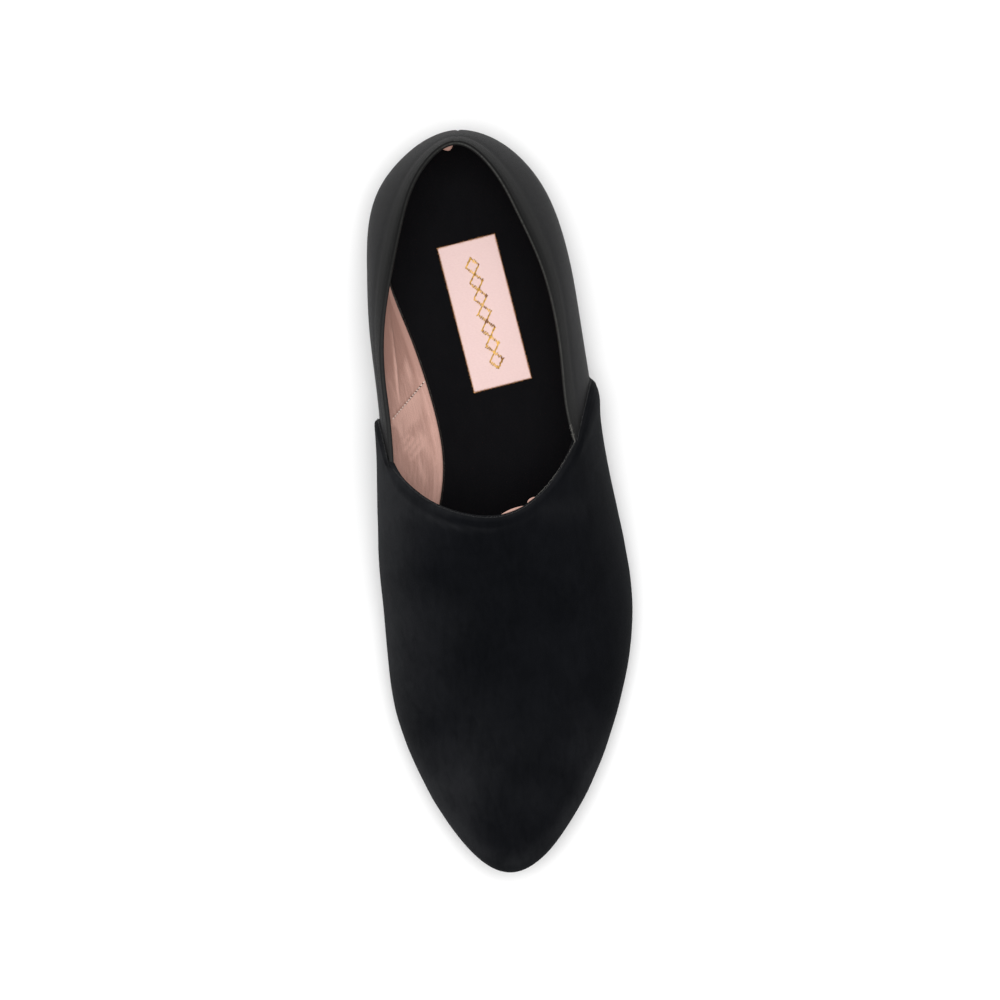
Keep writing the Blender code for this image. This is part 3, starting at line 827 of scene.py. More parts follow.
def leather_finish(name, dark, light, pebbles, rough, depth, streaks=0.0):
    """Grained leather. Streaks are fine folds that run along the piece, as a share of the whole shading."""
    material, tree, shader, place = new_finish(name, Specular_IOR_Level=0.25)
    grain = effect(tree, GRAIN, place["Object"], Pebble_Scale=pebbles)
    shade = blended(tree, grain["Height"], grain["Patch"], PATCH_SHARE)
    height = grain["Height"]
    if streaks:
        folds = noise(tree, stretched(tree, place["UV"], FOLD_STRETCH), FOLD_SCALE, 5.0, Roughness=0.72)
        fold = ramp(tree, folds[0], *NOISE_SPAN)
        shade = blended(tree, shade, fold, streaks)
        # Painted highlight on crease ridges and painted shade where the fold value dips.
        shade = math(tree, "ADD", shade, ramp(tree, mark_value(tree, "fold"), *CREASE_LIGHT_FROM, *CREASE_LIGHT_TO))
        # Painted shade towards the heel.
        shade = math(tree, "SUBTRACT", shade, math(tree, "MULTIPLY", mark_value(tree, "worn"), HEEL_SHADE_DEPTH))
        height = math(tree, "ADD", height, math(tree, "MULTIPLY", fold, FOLD_RELIEF))
    hide = mixed(tree, shade, dark, light)
    rough_value = ramp(tree, grain["Height"], 0, 1, rough + GRAIN_ROUGH, rough)
    feed(tree, shader, Base_Color=hide, Roughness=rough_value, Normal=bumped(tree, height, GRAIN_BUMP, depth))
    return material


LINING_LEATHER = leather_finish(
    "pink_lining", (0.437, 0.252, 0.205), (0.687, 0.428, 0.36), 1300.0, 0.5, 0.0001, streaks=0.62
)
SOLE_LEATHER = leather_finish(
    "sole_leather", (0.012, 0.009, 0.008), (0.028, 0.021, 0.018), 700.0, 0.45, 0.0002
)
print("leathers:", LINING_LEATHER.name, SOLE_LEATHER.name)

# %% [markdown]
# ## Tape and threads
#
# The label is a pale pink woven tape, and each row of sewing has its own thread. Twisted yarns could be
# modelled strand by strand, but at a fraction of a millimetre a speckle along the thread reads the same.
# The gold thread is partly metal, the others are plain fibre.

# %% Tape and threads
TAPE_DARK, TAPE_LIGHT = (0.83, 0.60, 0.57), (0.95, 0.72, 0.69)
TAPE_SLUB_SHARE = 0.4
TAPE_BUMP, TWIST_BUMP = (0.5, 0.00015), (0.3, 0.0001)
TWIST_ROUGH = 0.2


def tape_finish():
    material, tree, shader, place = new_finish("woven_tape", Sheen_Weight=0.2, Sheen_Roughness=0.4)
    weave = effect(tree, WEAVE, place["UV"], Warp_Pitch=0.0003, Weft_Pitch=0.00045)
    shade = blended(tree, weave["Height"], weave["Slub"], TAPE_SLUB_SHARE)
    cloth = mixed(tree, shade, TAPE_DARK, TAPE_LIGHT)
    rough = ramp(tree, weave["Over"], 0, 1, *WEAVE_ROUGH)
    feed(tree, shader, Base_Color=cloth, Roughness=rough, Normal=bumped(tree, weave["Height"], *TAPE_BUMP))
    return material


def thread_finish(name, dark, light, rough, metallic=0.0, twist_scale=3000.0, gloss=0.5):
    constants = dict(Metallic=metallic, Specular_IOR_Level=gloss, Sheen_Weight=0.1)
    material, tree, shader, place = new_finish(name, **constants)
    twist = noise(tree, place["Object"], twist_scale, 2.0)[0]
    yarn = mixed(tree, ramp(tree, twist, 0.35, 0.65), dark, light)
    rough_value = ramp(tree, twist, *NOISE_SPAN, rough, rough + TWIST_ROUGH)
    feed(tree, shader, Base_Color=yarn, Roughness=rough_value, Normal=bumped(tree, twist, *TWIST_BUMP))
    return material


WOVEN_TAPE = tape_finish()
PINK_THREAD = thread_finish("pink_thread", (0.72, 0.57, 0.5), (0.92, 0.80, 0.72), 0.5)
HOLE_BROWN = thread_finish("needle_holes", (0.035, 0.018, 0.013), (0.07, 0.04, 0.03), 0.7)
PALE_THREAD = thread_finish("pale_thread", (0.05, 0.049, 0.044), (0.17, 0.165, 0.15), 0.6)
EDGE_PILE = thread_finish("edge_pile", (0.008, 0.0083, 0.009), (0.04, 0.041, 0.042), 0.9)
AMBER_THREAD = thread_finish("amber_thread", (0.24, 0.09, 0.025), (0.68, 0.33, 0.1), 0.5)
GOLD_THREAD = thread_finish(
    "gold_thread", (0.22, 0.08, 0.012), (1.0, 0.64, 0.14), 0.4, metallic=0.3, twist_scale=900.0, gloss=0.1
)
threads = (PINK_THREAD, HOLE_BROWN, PALE_THREAD, EDGE_PILE, AMBER_THREAD, GOLD_THREAD)
print("tape and threads:", WOVEN_TAPE.name, *(thread.name for thread in threads))

# %% [markdown]
# ## Satin quarters
#
# The back of the shoe is charcoal satin with a seam down the middle of the heel. Its upper edge is turned in
# and stitched down, which leaves a soft roll along the collar and a shallow groove about 9 mm below it. A
# displacement in the wall's own distance from the edge gives both, and rows crowd towards the edge so that
# the roll stays round. In front the satin runs on under the velvet and ends there.

# %% The ring of ribs
PIECE_RIBS_PER_RIB = 5
RING_LOW, RING_HIGH, ROW_CROWDING = 8, 46, 1.8
LAP_FADE = 0.8
RIB_LOOK = 8
DENT_WAVES = 9

ring_ribs = np.arange(RIBS * PIECE_RIBS_PER_RIB) / PIECE_RIBS_PER_RIB
ring_rows = crowded_rows(RING_LOW, RING_HIGH, ROW_CROWDING)
ring_grid = last_points(ring_ribs, ring_rows)
ring_outward = outward_at(ring_ribs, ring_rows)
ring_edge = below_edge(ring_grid)
ring_from_heel = np.minimum(ring_ribs, RIBS - ring_ribs)[:, None]
on_quarter = 1 - ease(ring_from_heel, QUARTER_RIBS, QUARTER_RIBS + LAP_FADE)


def up_ribs(grid):
    """The direction in which each rib reaches its rim."""
    return unit(grid[:, -1] - grid[:, -RIB_LOOK])


def slid(skin, grid, edge, reach, span, evened):
    """A ring's skin drawn square to its rim by a reach, positive past it, fading out over a span.

    The directions are evened over some ribs to each side, which carries them round the ear corners.
    """
    rim = grid[:, -1]
    along = unit(np.roll(rim, -1, axis=0) - np.roll(rim, 1, axis=0))
    rib = up_ribs(grid)
    rib -= along * np.sum(along * rib, axis=-1, keepdims=True)
    square = unit(sum(np.roll(rib, step, axis=0) for step in range(-evened, evened + 1)))
    return skin + square[:, None] * (reach * (1 - ease(edge, 0, span)))[..., None]


def soft_dents(grid, size, seed):
    """Slow unevenness of cloth: a few waves across the shoe with fixed random directions."""
    draw = np.random.default_rng(seed)
    total = np.zeros(grid.shape[:2])
    for _ in range(DENT_WAVES):
        wave = draw.normal(size=3) / size
        total += np.sin(grid @ wave * 2 * np.pi + draw.uniform(0, 2 * np.pi))
    return total / DENT_WAVES


print(f"ring of {len(ring_ribs)} ribs and {len(ring_rows)} rows")

# %% The quarters
FOLD_WIDTH, FOLD_DEPTH = 2.4, 0.22
BAND_RISE, BAND_BACK, BAND_WIDTH = 0.05, 2.2, 1.4
SATIN_DENTS, DENT_SIZE, DENT_SEED, DENT_SPAN = 0.18, 34.0, 5, (3.0, 9.0)
BACK_SEAM_DEPTH, BACK_SEAM_WIDTH, BACK_SEAM_SPAN = 0.3, 0.5, (8.0, 12.0)
ROLL_RADIUS, ROLL_SPAN = 0.9, (0.2, 1.2)
WRAP_START, WRAP_END, WRAP_PROUD = 3.5, 4.5, 0.2
LINING_SHARE, SKIN_CLEAR = 0.7, 0.02
UNDER_VELVET, UNDER_SPAN, RING_EVENED = 1.5, 8.0, 6
MEDIAL_PALE_RIM, PALE_RIM_SIDES = 0.3, (-12.0, 6.0)
RIM_SHADE_FADE, RIM_SHADE_SPAN = 0.8, (35.0, 75.0)
RIM_MIDDLE = WALL / 2

band_rise = BAND_RISE * bump(ring_edge, FOLD_PLACE - BAND_BACK, BAND_WIDTH)
satin_relief = on_quarter * (band_rise - FOLD_DEPTH * bump(ring_edge, FOLD_PLACE, FOLD_WIDTH))
satin_dents = SATIN_DENTS * soft_dents(ring_grid, DENT_SIZE, DENT_SEED)
satin_relief += on_quarter * satin_dents * ease(ring_edge, *DENT_SPAN)
on_seam = bump(ring_grid[..., 1] - ring_grid[:1, :, 1], 0, BACK_SEAM_WIDTH)
satin_relief -= BACK_SEAM_DEPTH * on_seam * (1 - ease(ring_grid[..., 0], *BACK_SEAM_SPAN))
rim_share = rolled(ring_edge, ROLL_RADIUS)
satin_out = RIM_MIDDLE + (WALL - RIM_MIDDLE) * rim_share + satin_relief * ease(ring_edge, *ROLL_SPAN)
wrapped_in = RIM_MIDDLE - (RIM_MIDDLE + WRAP_PROUD) * rim_share
unwrapped = np.maximum(ease(ring_edge, WRAP_START, WRAP_END), 1 - on_quarter)
satin_in = wrapped_in + (LINING_SHARE - wrapped_in) * unwrapped
under_velvet = UNDER_VELVET * (on_quarter - 1)
satin_outer, satin_inner = (
    slid(
        layer(ring_grid, ring_outward, ring_rows, distance),
        ring_grid, ring_edge, under_velvet, UNDER_SPAN, RING_EVENED,
    )
    for distance in (satin_out + SKIN_CLEAR, np.minimum(satin_in, satin_out))
)
# How strongly the rim is paled: fully on the outer side, less on the inner side.
outer_side = ease(ring_grid[:, -1:, 1], *PALE_RIM_SIDES)
pale_rim = np.broadcast_to(on_quarter * (MEDIAL_PALE_RIM + (1 - MEDIAL_PALE_RIM) * outer_side), ring_edge.shape)
# Painted shade at the collar's edge: full at the heel, fading towards the ears; it goes to the turned value.
heel_rim_shade = 1 - RIM_SHADE_FADE * ease(ring_grid[..., 0], *RIM_SHADE_SPAN)
satin_marks = dict(edge=ring_edge, rim=pale_rim, turned=heel_rim_shade)
quarters = wall_piece("quarters", satin_outer, satin_inner, True, **satin_marks)
dress(quarters, SATIN, "upper")

# %% [markdown]
# ## Leather lining
#
# Inside, the quarters and the vamp are lined with thin pink leather. On the inner side of the foot the
# lining shows in the arch: the turned edge prints through as a crease, a slanting seam joins two pieces, and
# the leather wrinkles where it is pulled round the waist. Each crease is a short line with a height and a
# width, listed in the shoe's own stations and offsets. A simulation would wrinkle it too, but not in
# these places.

# %% Creases and seam
Crease = namedtuple("Crease", "start end width height")
CREASES = (
    Crease((110.3, -27.2), (104.0, -21.6), 0.6, 0.26),
    Crease((107.7, -27.5), (103.0, -23.4), 0.55, 0.24),
    Crease((111.2, -25.6), (105.0, -20.2), 0.6, 0.26),
    Crease((113.5, -25.0), (106.0, -18.4), 0.65, 0.22),
    Crease((99.0, -27.6), (105.5, -26.6), 0.7, 0.34),
    Crease((103.5, -19.0), (116.5, -15.6), 0.75, 0.26),
    Crease((101.0, -21.5), (114.0, -17.4), 0.65, 0.22),
    Crease((115.0, -16.6), (127.0, -15.0), 0.65, 0.22),
    Crease((112.0, -22.0), (124.0, -19.0), 0.8, 0.2),
    Crease((62.0, -28.2), (94.5, -26.9), 0.34, 0.6),
    Crease((76.0, -24.5), (88.0, -21.5), 0.9, 0.22),
    Crease((68.0, -25.0), (84.0, -22.2), 0.75, 0.18),
)
SEAM_START, SEAM_END = (86.0, -17.6), (98.4, -29.6)
SEAM_IN, SEAM_OUT = (0.02, 0.2), (1.0, 1.12)
SEAM_STEP, SEAM_RISE, SEAM_LEVEL = 0.35, (0, 0.5), (2.5, 9.0)
SEAM_GROOVE, GROOVE_PLACE, GROOVE_WIDTH = 0.25, -0.2, 0.35
MEDIAL_SPAN = (2.0, 8.0)
HIDE_DENTS, HIDE_DENT_SIZE, HIDE_DENT_SEED = 0.05, 14.0, 8


def along_line(grid, start, end):
    """Distance to the left of a line and share of the way along it, for each point seen from above."""
    start, end = np.array(start), np.array(end)
    span = np.linalg.norm(end - start)
    ahead = (end - start) / span
    away = grid[..., :2] - start
    return away @ np.array([-ahead[1], ahead[0]]), away @ ahead / span


def crease_height(grid, crease):
    side, share = along_line(grid, crease.start, crease.end)
    taper = np.clip(share * (1 - share) * 4, 0, 1)
    return crease.height * taper * bump(side, 0, crease.width)


def lining_relief(grid):
    """How far the leather stands up into the shoe: creases and seam on the inner side, dents all over."""
    total = sum(crease_height(grid, crease) for crease in CREASES)
    side, share = along_line(grid, SEAM_START, SEAM_END)
    on_seam = ease(share, *SEAM_IN) * (1 - ease(share, *SEAM_OUT))
    total = total + on_seam * SEAM_STEP * (ease(side, *SEAM_RISE) - ease(side, *SEAM_LEVEL))
    total = total - on_seam * SEAM_GROOVE * bump(side, GROOVE_PLACE, GROOVE_WIDTH)
    dents = HIDE_DENTS * soft_dents(grid, HIDE_DENT_SIZE, HIDE_DENT_SEED)
    return ease(-grid[..., 1], *MEDIAL_SPAN) * total + dents


print(len(CREASES), "creases and one seam")

# %% Lips and bulge
Lip = namedtuple("Lip", "station offset half_length reach")
LIPS = (Lip(133.0, 9.2, 4.0, 0.6), Lip(130.6, 15.9, 1.5, 0.5))
HEEL_BULGE = Lip(5.8, -4.4, 2.6, 2.7)
LIP_NEAR = 4.0


def sliver(rim, lip):
    """A reach at each rib near a lip, with pointed ends."""
    reach = lip.reach * np.clip(1 - ((rim[:, 1] - lip.offset) / lip.half_length) ** 2, 0, None)
    return np.where(np.abs(rim[:, 0] - lip.station) < LIP_NEAR, reach, 0)[:, None]


print(len(LIPS), "lips at the throat and a bulge at the heel")

# %% The lining
LINING_DENSE, RIB_STEP, DENSE_STEP = (46, 72), 0.25, 0.125
LINING_LOW, LINING_HIGH = 52, 30
FOLD_FROM_EDGE, FOLD_FROM_SOLE = (1.0, 3.0), (0.2, 1.0)
RIM_CLEAR, BEHIND_SATIN = 0.1, (WRAP_START - 0.6, WRAP_END - 0.4)
BULGE_PLACE, BULGE_WIDTH = 5.2, 1.8
LIP_SPAN, LIP_SINK, LIP_FLAT, LIP_LEAST = 7.0, 1.2, 0.4, 0.01
LINING_TUCK, LINING_EVENED = 2.0, 14
SATIN_CLEAR, HIDE_LEAST = 0.04, 0.05
SOCK_STEP, SOCK_SPAN = 0.4, (35.0, 60.0)
HEEL_SHADE_SPAN = (66.0, 94.0)

lining_ribs = np.concatenate([
    np.arange(0, LINING_DENSE[0], RIB_STEP),
    np.arange(*LINING_DENSE, DENSE_STEP),
    np.arange(LINING_DENSE[1], RIBS, RIB_STEP),
])
lining_rows = crowded_rows(LINING_LOW, LINING_HIGH, ROW_CROWDING)
lining_grid = last_points(lining_ribs, lining_rows)
lining_outward = outward_at(lining_ribs, lining_rows)
lining_edge = below_edge(lining_grid)
lining_fold = lining_relief(lining_grid) * ease(lining_edge, *FOLD_FROM_EDGE)
lining_fold *= ease(lining_rows, *FOLD_FROM_SOLE)
lining_in = -lining_fold
lining_in += (RIM_MIDDLE - RIM_CLEAR) * (1 - ease(lining_edge, *BEHIND_SATIN))
lining_in -= sliver(lining_grid[:, -1], HEEL_BULGE) * bump(lining_edge, BULGE_PLACE, BULGE_WIDTH)
lips = sum(sliver(lining_grid[:, -1], lip) for lip in LIPS)
lip_reach = np.where(lips > LIP_LEAST, lips, -LINING_TUCK)
lip_sink = np.clip(lips, 0, 1) * LIP_SINK * (1 - ease(lining_edge, LIP_SPAN * LIP_FLAT, LIP_SPAN))
lining_out = np.maximum(LINING_SHARE - SATIN_CLEAR, lining_in + HIDE_LEAST)
lining_outer, lining_inner = (
    slid(
        layer(lining_grid, lining_outward, lining_rows, distance - lip_sink),
        lining_grid, lining_edge, lip_reach, LIP_SPAN, LINING_EVENED,
    )
    for distance in (lining_out, lining_in)
)
past_heel = ease(lining_inner[..., 0], *SOCK_SPAN)
sock_edge = feather_height(lining_inner[..., 0]) + (INSOLE_THICK - SOCK_STEP) * past_heel
lining_inner[..., 2] = np.maximum(lining_inner[..., 2], sock_edge)
# Painted shade on the lining towards the heel.
heel_shade = 1 - ease(lining_grid[..., 0], *HEEL_SHADE_SPAN)
lining = wall_piece("lining", lining_outer, lining_inner, True, fold=lining_fold, worn=heel_shade)
dress(lining, LINING_LEATHER, "upper")

# %% [markdown]
# ## Velvet vamp
#
# The vamp is one piece of black velvet over the front, with an ear that laps each quarter. All its free edges
# are turned under, so the cloth is thinnest at the edge and swells to a soft roll beside it. Ribs crowd
# towards the ears and rows towards the throat to carry that roll. Its pile is paler in soft spots, each with
# its own share: some are where hands have brushed the pile, others are painted light, chiefly the lighter
# inner side. A painted highlight and shade lie along the throat, and a painted sheen runs round the toe.

# %% Brushed pile
LayAndLight = namedtuple("LayAndLight", "station offset half_length half_width share")
# Soft paler spots: some brushed pile, others painted light, chiefly the lighter inner side and its ear.
LAYS_AND_LIGHTS = (
    LayAndLight(180.0, -33.0, 75.0, 9.0, 0.72),
    LayAndLight(152.0, -19.0, 5.0, 8.0, -0.2),
    LayAndLight(206.0, -23.0, 5.0, 8.0, -0.2),
    LayAndLight(170.0, -12.0, 7.0, 10.0, 0.12),
    LayAndLight(185.0, -22.0, 60.0, 10.0, 0.22),
    LayAndLight(120.0, -33.0, 18.0, 8.0, 1.1),
    LayAndLight(130.0, -20.0, 5.0, 12.0, 0.5),
    LayAndLight(232.0, -18.0, 16.0, 9.0, 0.88),
    LayAndLight(250.0, -2.0, 9.0, 14.0, 0.05),
    LayAndLight(228.0, 6.0, 26.0, 20.0, 0.2),
    LayAndLight(212.0, -8.0, 14.0, 9.0, 0.22),
    LayAndLight(118.0, 38.0, 16.0, 7.0, 0.3),
    LayAndLight(133.0, 24.0, 4.0, 8.0, 0.3),
    LayAndLight(222.0, 27.0, 22.0, 6.0, 0.35),
)
EDGE_PALE, EDGE_SPAN = 0.45, (0.2, 1.3)
TURN_MIDDLE, TURN_HALF = -10.0, 16.0
TURN_RIDGE_HIGHLIGHT, RIDGE_PLACE, RIDGE_WIDTH = 0.55, 3.9, 1.0
TURN_GROOVE_SHADE, TURN_GROOVE_PLACE, TURN_GROOVE_WIDTH = 0.25, 2.6, 0.9
TOE_PAINTED_SHEEN, TOE_SPAN, TOE_PLACE, TOE_WIDTH = 0.6, (200.0, 226.0), 2.2, 2.6


def pile_lay_and_light(grid, edge, throat_edge, swell_row):
    """How pale the pile is: free edges, laid pile, and painted light in spots, at the throat and at the toe.
    """
    total = EDGE_PALE * (1 - ease(edge, *EDGE_SPAN))
    # Painted highlight on the turned throat's ridge and painted shade in the groove beside it, across the
    # middle.
    ridge_highlight = TURN_RIDGE_HIGHLIGHT * bump(throat_edge, RIDGE_PLACE, RIDGE_WIDTH)
    groove_shade = TURN_GROOVE_SHADE * bump(throat_edge, TURN_GROOVE_PLACE, TURN_GROOVE_WIDTH)
    total += bump(grid[..., 1], TURN_MIDDLE, TURN_HALF) * (ridge_highlight - groove_shade)
    for lay in LAYS_AND_LIGHTS:
        along = bump(grid[..., 0], lay.station, lay.half_length)
        total += lay.share * along * bump(grid[..., 1], lay.offset, lay.half_width)
    # Painted sheen in a line just inside the swell, round the toe.
    from_swell = np.linalg.norm((grid - grid[:, swell_row : swell_row + 1])[..., :2], axis=-1)
    return total + TOE_PAINTED_SHEEN * ease(grid[..., 0], *TOE_SPAN) * bump(from_swell, TOE_PLACE, TOE_WIDTH)


print(len(LAYS_AND_LIGHTS), "brushed places")

# %% The vamp
VAMP_ACROSS, VAMP_LOW, VAMP_HIGH, EAR_CROWDING = 301, 9, 50, 2.2
EAR_RADIUS, THROAT_RADIUS, TURN_RADIUS = 1.8, 1.8, 1.0
TURN_START, TURN_END = 1.7, 2.8
EAR_LIFT = 0.05
EDGE_SWELL, SWELL_PLACE, SWELL_WIDTH = 0.1, 2.4, 1.6
SHOULDER, SHOULDER_PLACE, SHOULDER_WIDTH, SHOULDER_SIDE = 0.7, 6.0, 4.5, (10.0, 20.0)
VELVET_DENTS, VELVET_DENT_SIZE, VELVET_DENT_SEED = 0.14, 22.0, 11
SWELL_SPAN = (0.5, 4.0)
THROAT_REACH, REACH_HALF, REACH_SPAN = 1.1, 11.0, 9.0
SEAT = WALL + GAP
TURN_MID_HEIGHT = SEAT / 2


def crowded_between(start, end, count, power):
    """Numbers from start to end, closer together at both ends."""
    share = np.linspace(-1, 1, count)
    return start + (end - start) * (1 + np.sign(share) * (1 - (1 - np.abs(share)) ** power)) / 2


def along_rows(grid):
    """For each point of a grid, the length along its row to the nearer end of the row."""
    steps = np.linalg.norm(np.diff(grid, axis=0), axis=-1)
    place = np.concatenate([np.zeros((1, grid.shape[1])), np.cumsum(steps, axis=0)])
    return np.minimum(place, place[-1] - place)


vamp_ribs = crowded_between(QUARTER_RIBS, QUARTER_RIBS + 2 * VAMP_RIBS, VAMP_ACROSS, EAR_CROWDING)
vamp_rows = crowded_rows(VAMP_LOW, VAMP_HIGH, ROW_CROWDING)
vamp_grid = last_points(vamp_ribs, vamp_rows)
vamp_outward = outward_at(vamp_ribs, vamp_rows)
throat_edge, ear_edge = below_edge(vamp_grid), along_rows(vamp_grid)
vamp_edge = np.minimum(throat_edge, ear_edge)
from_throat = TURN_MID_HEIGHT + (SEAT + VELVET - TURN_MID_HEIGHT) * rolled(throat_edge, THROAT_RADIUS)
from_ear = SEAT + EAR_LIFT + VELVET * rolled(ear_edge, EAR_RADIUS)
vamp_swell = EDGE_SWELL * bump(vamp_edge, SWELL_PLACE, SWELL_WIDTH)
vamp_swell += VELVET_DENTS * soft_dents(vamp_grid, VELVET_DENT_SIZE, VELVET_DENT_SEED)
on_shoulder = bump(ear_edge, SHOULDER_PLACE, SHOULDER_WIDTH) * ease(vamp_grid[..., 1], *SHOULDER_SIDE)
vamp_swell += SHOULDER * on_shoulder
vamp_out = np.minimum(from_throat, from_ear) + vamp_swell * ease(vamp_edge, *SWELL_SPAN)
turned_in = TURN_MID_HEIGHT - (TURN_MID_HEIGHT + WRAP_PROUD) * rolled(throat_edge, TURN_RADIUS)
vamp_in = turned_in + (SEAT - turned_in) * ease(throat_edge, TURN_START, TURN_END)
reach = THROAT_REACH * bump(vamp_grid[:, -1:, 1], TURN_MIDDLE, REACH_HALF)
reach = reach * (1 - ease(throat_edge, 0, REACH_SPAN))
drawn_back = up_ribs(vamp_grid)[:, None] * reach[..., None]
vamp_outer, vamp_inner = (
    layer(vamp_grid, vamp_outward, vamp_rows, distance) + drawn_back
    for distance in (vamp_out, np.minimum(vamp_in, vamp_out - SKIN_CLEAR))
)
vamp_lay = pile_lay_and_light(vamp_grid, vamp_edge, throat_edge, VAMP_LOW)
vamp = wall_piece("vamp_cloth", vamp_outer, vamp_inner, False, edge=vamp_edge, lay=vamp_lay)
dress(vamp, VAMP_VELVET, "vamp")

# %% [markdown]
# ## Insole and outsole
#
# The sock inside is a thin pad covered in the same kind of velvet, narrow at the waist, with a rounded edge.
# The outsole is leather with a low heel, its edge trimmed in a little towards the floor. Both are lofts:
# a ring of points at each station, set from the feather line. A bevelled slab would be quicker, but the
# sole's outline and thickness change all along the foot.

# %% Lofts along the foot
LOFT_STATIONS = 181
THINNEST = 0.01


def loft_stations(loop, extra=()):
    turn = np.linspace(0, np.pi, LOFT_STATIONS)
    heel, toe = loop[:, 0].min(), loop[:, 0].max()
    return np.unique(np.concatenate([heel + (toe - heel) * (1 - np.cos(turn)) / 2, extra]))


def loft_sides(loop, stations):
    """Offsets of both sides of a loop at each station, and half the width between them."""
    lateral, medial = side_offsets(loop, stations)
    return lateral, medial, np.maximum((lateral - medial) / 2, THINNEST)


def loft_piece(name, stations, ring):
    """A closed body through a ring of offsets and heights at each station, with a point at each end."""
    rings = np.stack([np.stack([stations, *pair], -1) for pair in ring], axis=1)
    ends = [rings[end].mean(0) for end in (0, -1)]
    points = np.vstack([rings[1:-1].reshape(-1, 3), ends])
    count, inner = len(ring), len(stations) - 2
    i, j = np.meshgrid(np.arange(inner - 1), np.arange(count), indexing="ij")
    after = (j + 1) % count
    sides = np.stack([i * count + j, i * count + after, (i + 1) * count + after, (i + 1) * count + j], -1)
    faces = sides.reshape(-1, 4).tolist()
    heel_point, toe_point = inner * count, inner * count + 1
    for k in range(count):
        ahead = (k + 1) % count
        faces.append([heel_point, ahead, k])
        faces.append([toe_point, (inner - 1) * count + k, (inner - 1) * count + ahead])
    piece = new_piece(name, to_frame(points), faces)
    point_outwards(piece)
    return piece


print("lofts of", LOFT_STATIONS, "stations")

# %% The insole
INSOLE_ROUND, ROUND_STEPS = 0.5, 6
INSOLE_PUFF, PUFF_HALF, PUFF_STEPS = 0.1, 8, 15
HEEL_REACH, HEEL_SPAN = 1.5, (8.0, 30.0)


def insole_top(station):
    return feather_height(station) + INSOLE_THICK


heel_reach = HEEL_REACH * (1 - ease(FEATHER_LOOP[:, 0], *HEEL_SPAN))
insole_loop = moved_out(FEATHER_LOOP, heel_reach - INSOLE_INSET)
stations = loft_stations(insole_loop)
lateral, medial, half = loft_sides(insole_loop, stations)
corner = np.minimum(INSOLE_ROUND, half / 2)
low, high = feather_height(stations), insole_top(stations)
turns = np.linspace(0, np.pi / 2, ROUND_STEPS)
rounding = [(corner * (1 - np.cos(a)), high - INSOLE_ROUND * (1 - np.sin(a))) for a in turns]
puff = INSOLE_PUFF * np.minimum(1, half / PUFF_HALF)
flat = medial - lateral + 2 * corner
ring = [(lateral, low)]
ring += [(lateral - inset, height) for inset, height in rounding]
ring += [
    (lateral - corner + flat * t, high + puff * 4 * t * (1 - t)) for t in np.linspace(0, 1, PUFF_STEPS)[1:-1]
]
ring += [(medial + inset, height) for inset, height in rounding[::-1]]
ring += [(medial, low)]
insole = loft_piece("insole_sock", stations, ring)
dress(insole, INSOLE_VELVET, "insole")

# %% The outsole
MARGIN_HEEL, MARGIN_FRONT, MARGIN_SPAN = 2.4, 4.6, (52.0, 72.0)
EDGE_TRIM, EDGE_HOLLOW, EDGE_LEAN, EDGE_TURNS = 0.9, 0.8, 0.5, 9
BREAST_SLOPE = 0.8
UNDERSIDE_SHARES = (0.6, 0.3, 0.0, -0.3, -0.6)
SHARP_ANGLE = np.radians(50)

sole_margin = MARGIN_HEEL + (MARGIN_FRONT - MARGIN_HEEL) * ease(FEATHER_LOOP[:, 0], *MARGIN_SPAN)
sole_loop = moved_out(FEATHER_LOOP, sole_margin)
stations = loft_stations(sole_loop, extra=(HEEL_BREAST, HEEL_BREAST + BREAST_SLOPE))
lateral, medial, half = loft_sides(sole_loop, stations)
top = feather_height(stations) - GAP
bottom = np.where(stations <= HEEL_BREAST, 0.0, top - SOLE_THICK)
trim = np.minimum(EDGE_TRIM, half / 2)
turns = np.linspace(0, np.pi, EDGE_TURNS)
insets = [trim * (1 - np.sin(a)) * EDGE_HOLLOW + trim * a / np.pi * EDGE_LEAN for a in turns]
heights = [top + (bottom - top) * ((1 - np.cos(a)) / 2) for a in turns]
edge_profile = list(zip(insets, heights))
ring = [(lateral - inset, height) for inset, height in edge_profile]
ring += [((lateral + medial) / 2 + half * share, bottom) for share in UNDERSIDE_SHARES]
ring += [(medial + inset, height) for inset, height in edge_profile[::-1]]
outsole = loft_piece("outsole_leather", stations, ring)
outsole.data.set_sharp_from_angle(angle=SHARP_ANGLE)
dress(outsole, SOLE_LEATHER, "outsole")

# %% [markdown]
# ## Woven label
#
# A short length of pink woven tape is laid on the insole and sewn down. The tape follows the insole's slope,
# and its corners lift a little, as cloth does. A cloth simulation would settle it too, but it hardly moves,
# so a small wave in its own length and width is enough.

# %% The label
LABEL_STEPS = (90, 40)
LABEL_CLEAR = 0.25
CORNER_LIFT, CORNER_POWER = 0.25, 6
TAPE_WAVE, WAVE_ALONG, WAVE_SLANT, WAVE_ACROSS = 0.05, 0.9, 0.4, 0.5


def label_place(along, across, height):
    """A point on the label from its own length and width, in millimetres."""
    station = LABEL_MIDDLE[0] + along * np.cos(LABEL_TURN) - across * np.sin(LABEL_TURN)
    offset = LABEL_MIDDLE[1] + along * np.sin(LABEL_TURN) + across * np.cos(LABEL_TURN)
    return np.stack([station, offset, insole_top(station) + LABEL_CLEAR + height], -1)


def label_wave(along, across):
    to_end, to_side = np.abs(2 * along / LABEL_LENGTH), np.abs(2 * across / LABEL_WIDTH)
    lift = to_end**CORNER_POWER * to_side**CORNER_POWER * CORNER_LIFT
    wave = np.sin(along * WAVE_ALONG + WAVE_SLANT * across) * np.sin(across * WAVE_ACROSS)
    return lift + TAPE_WAVE * wave


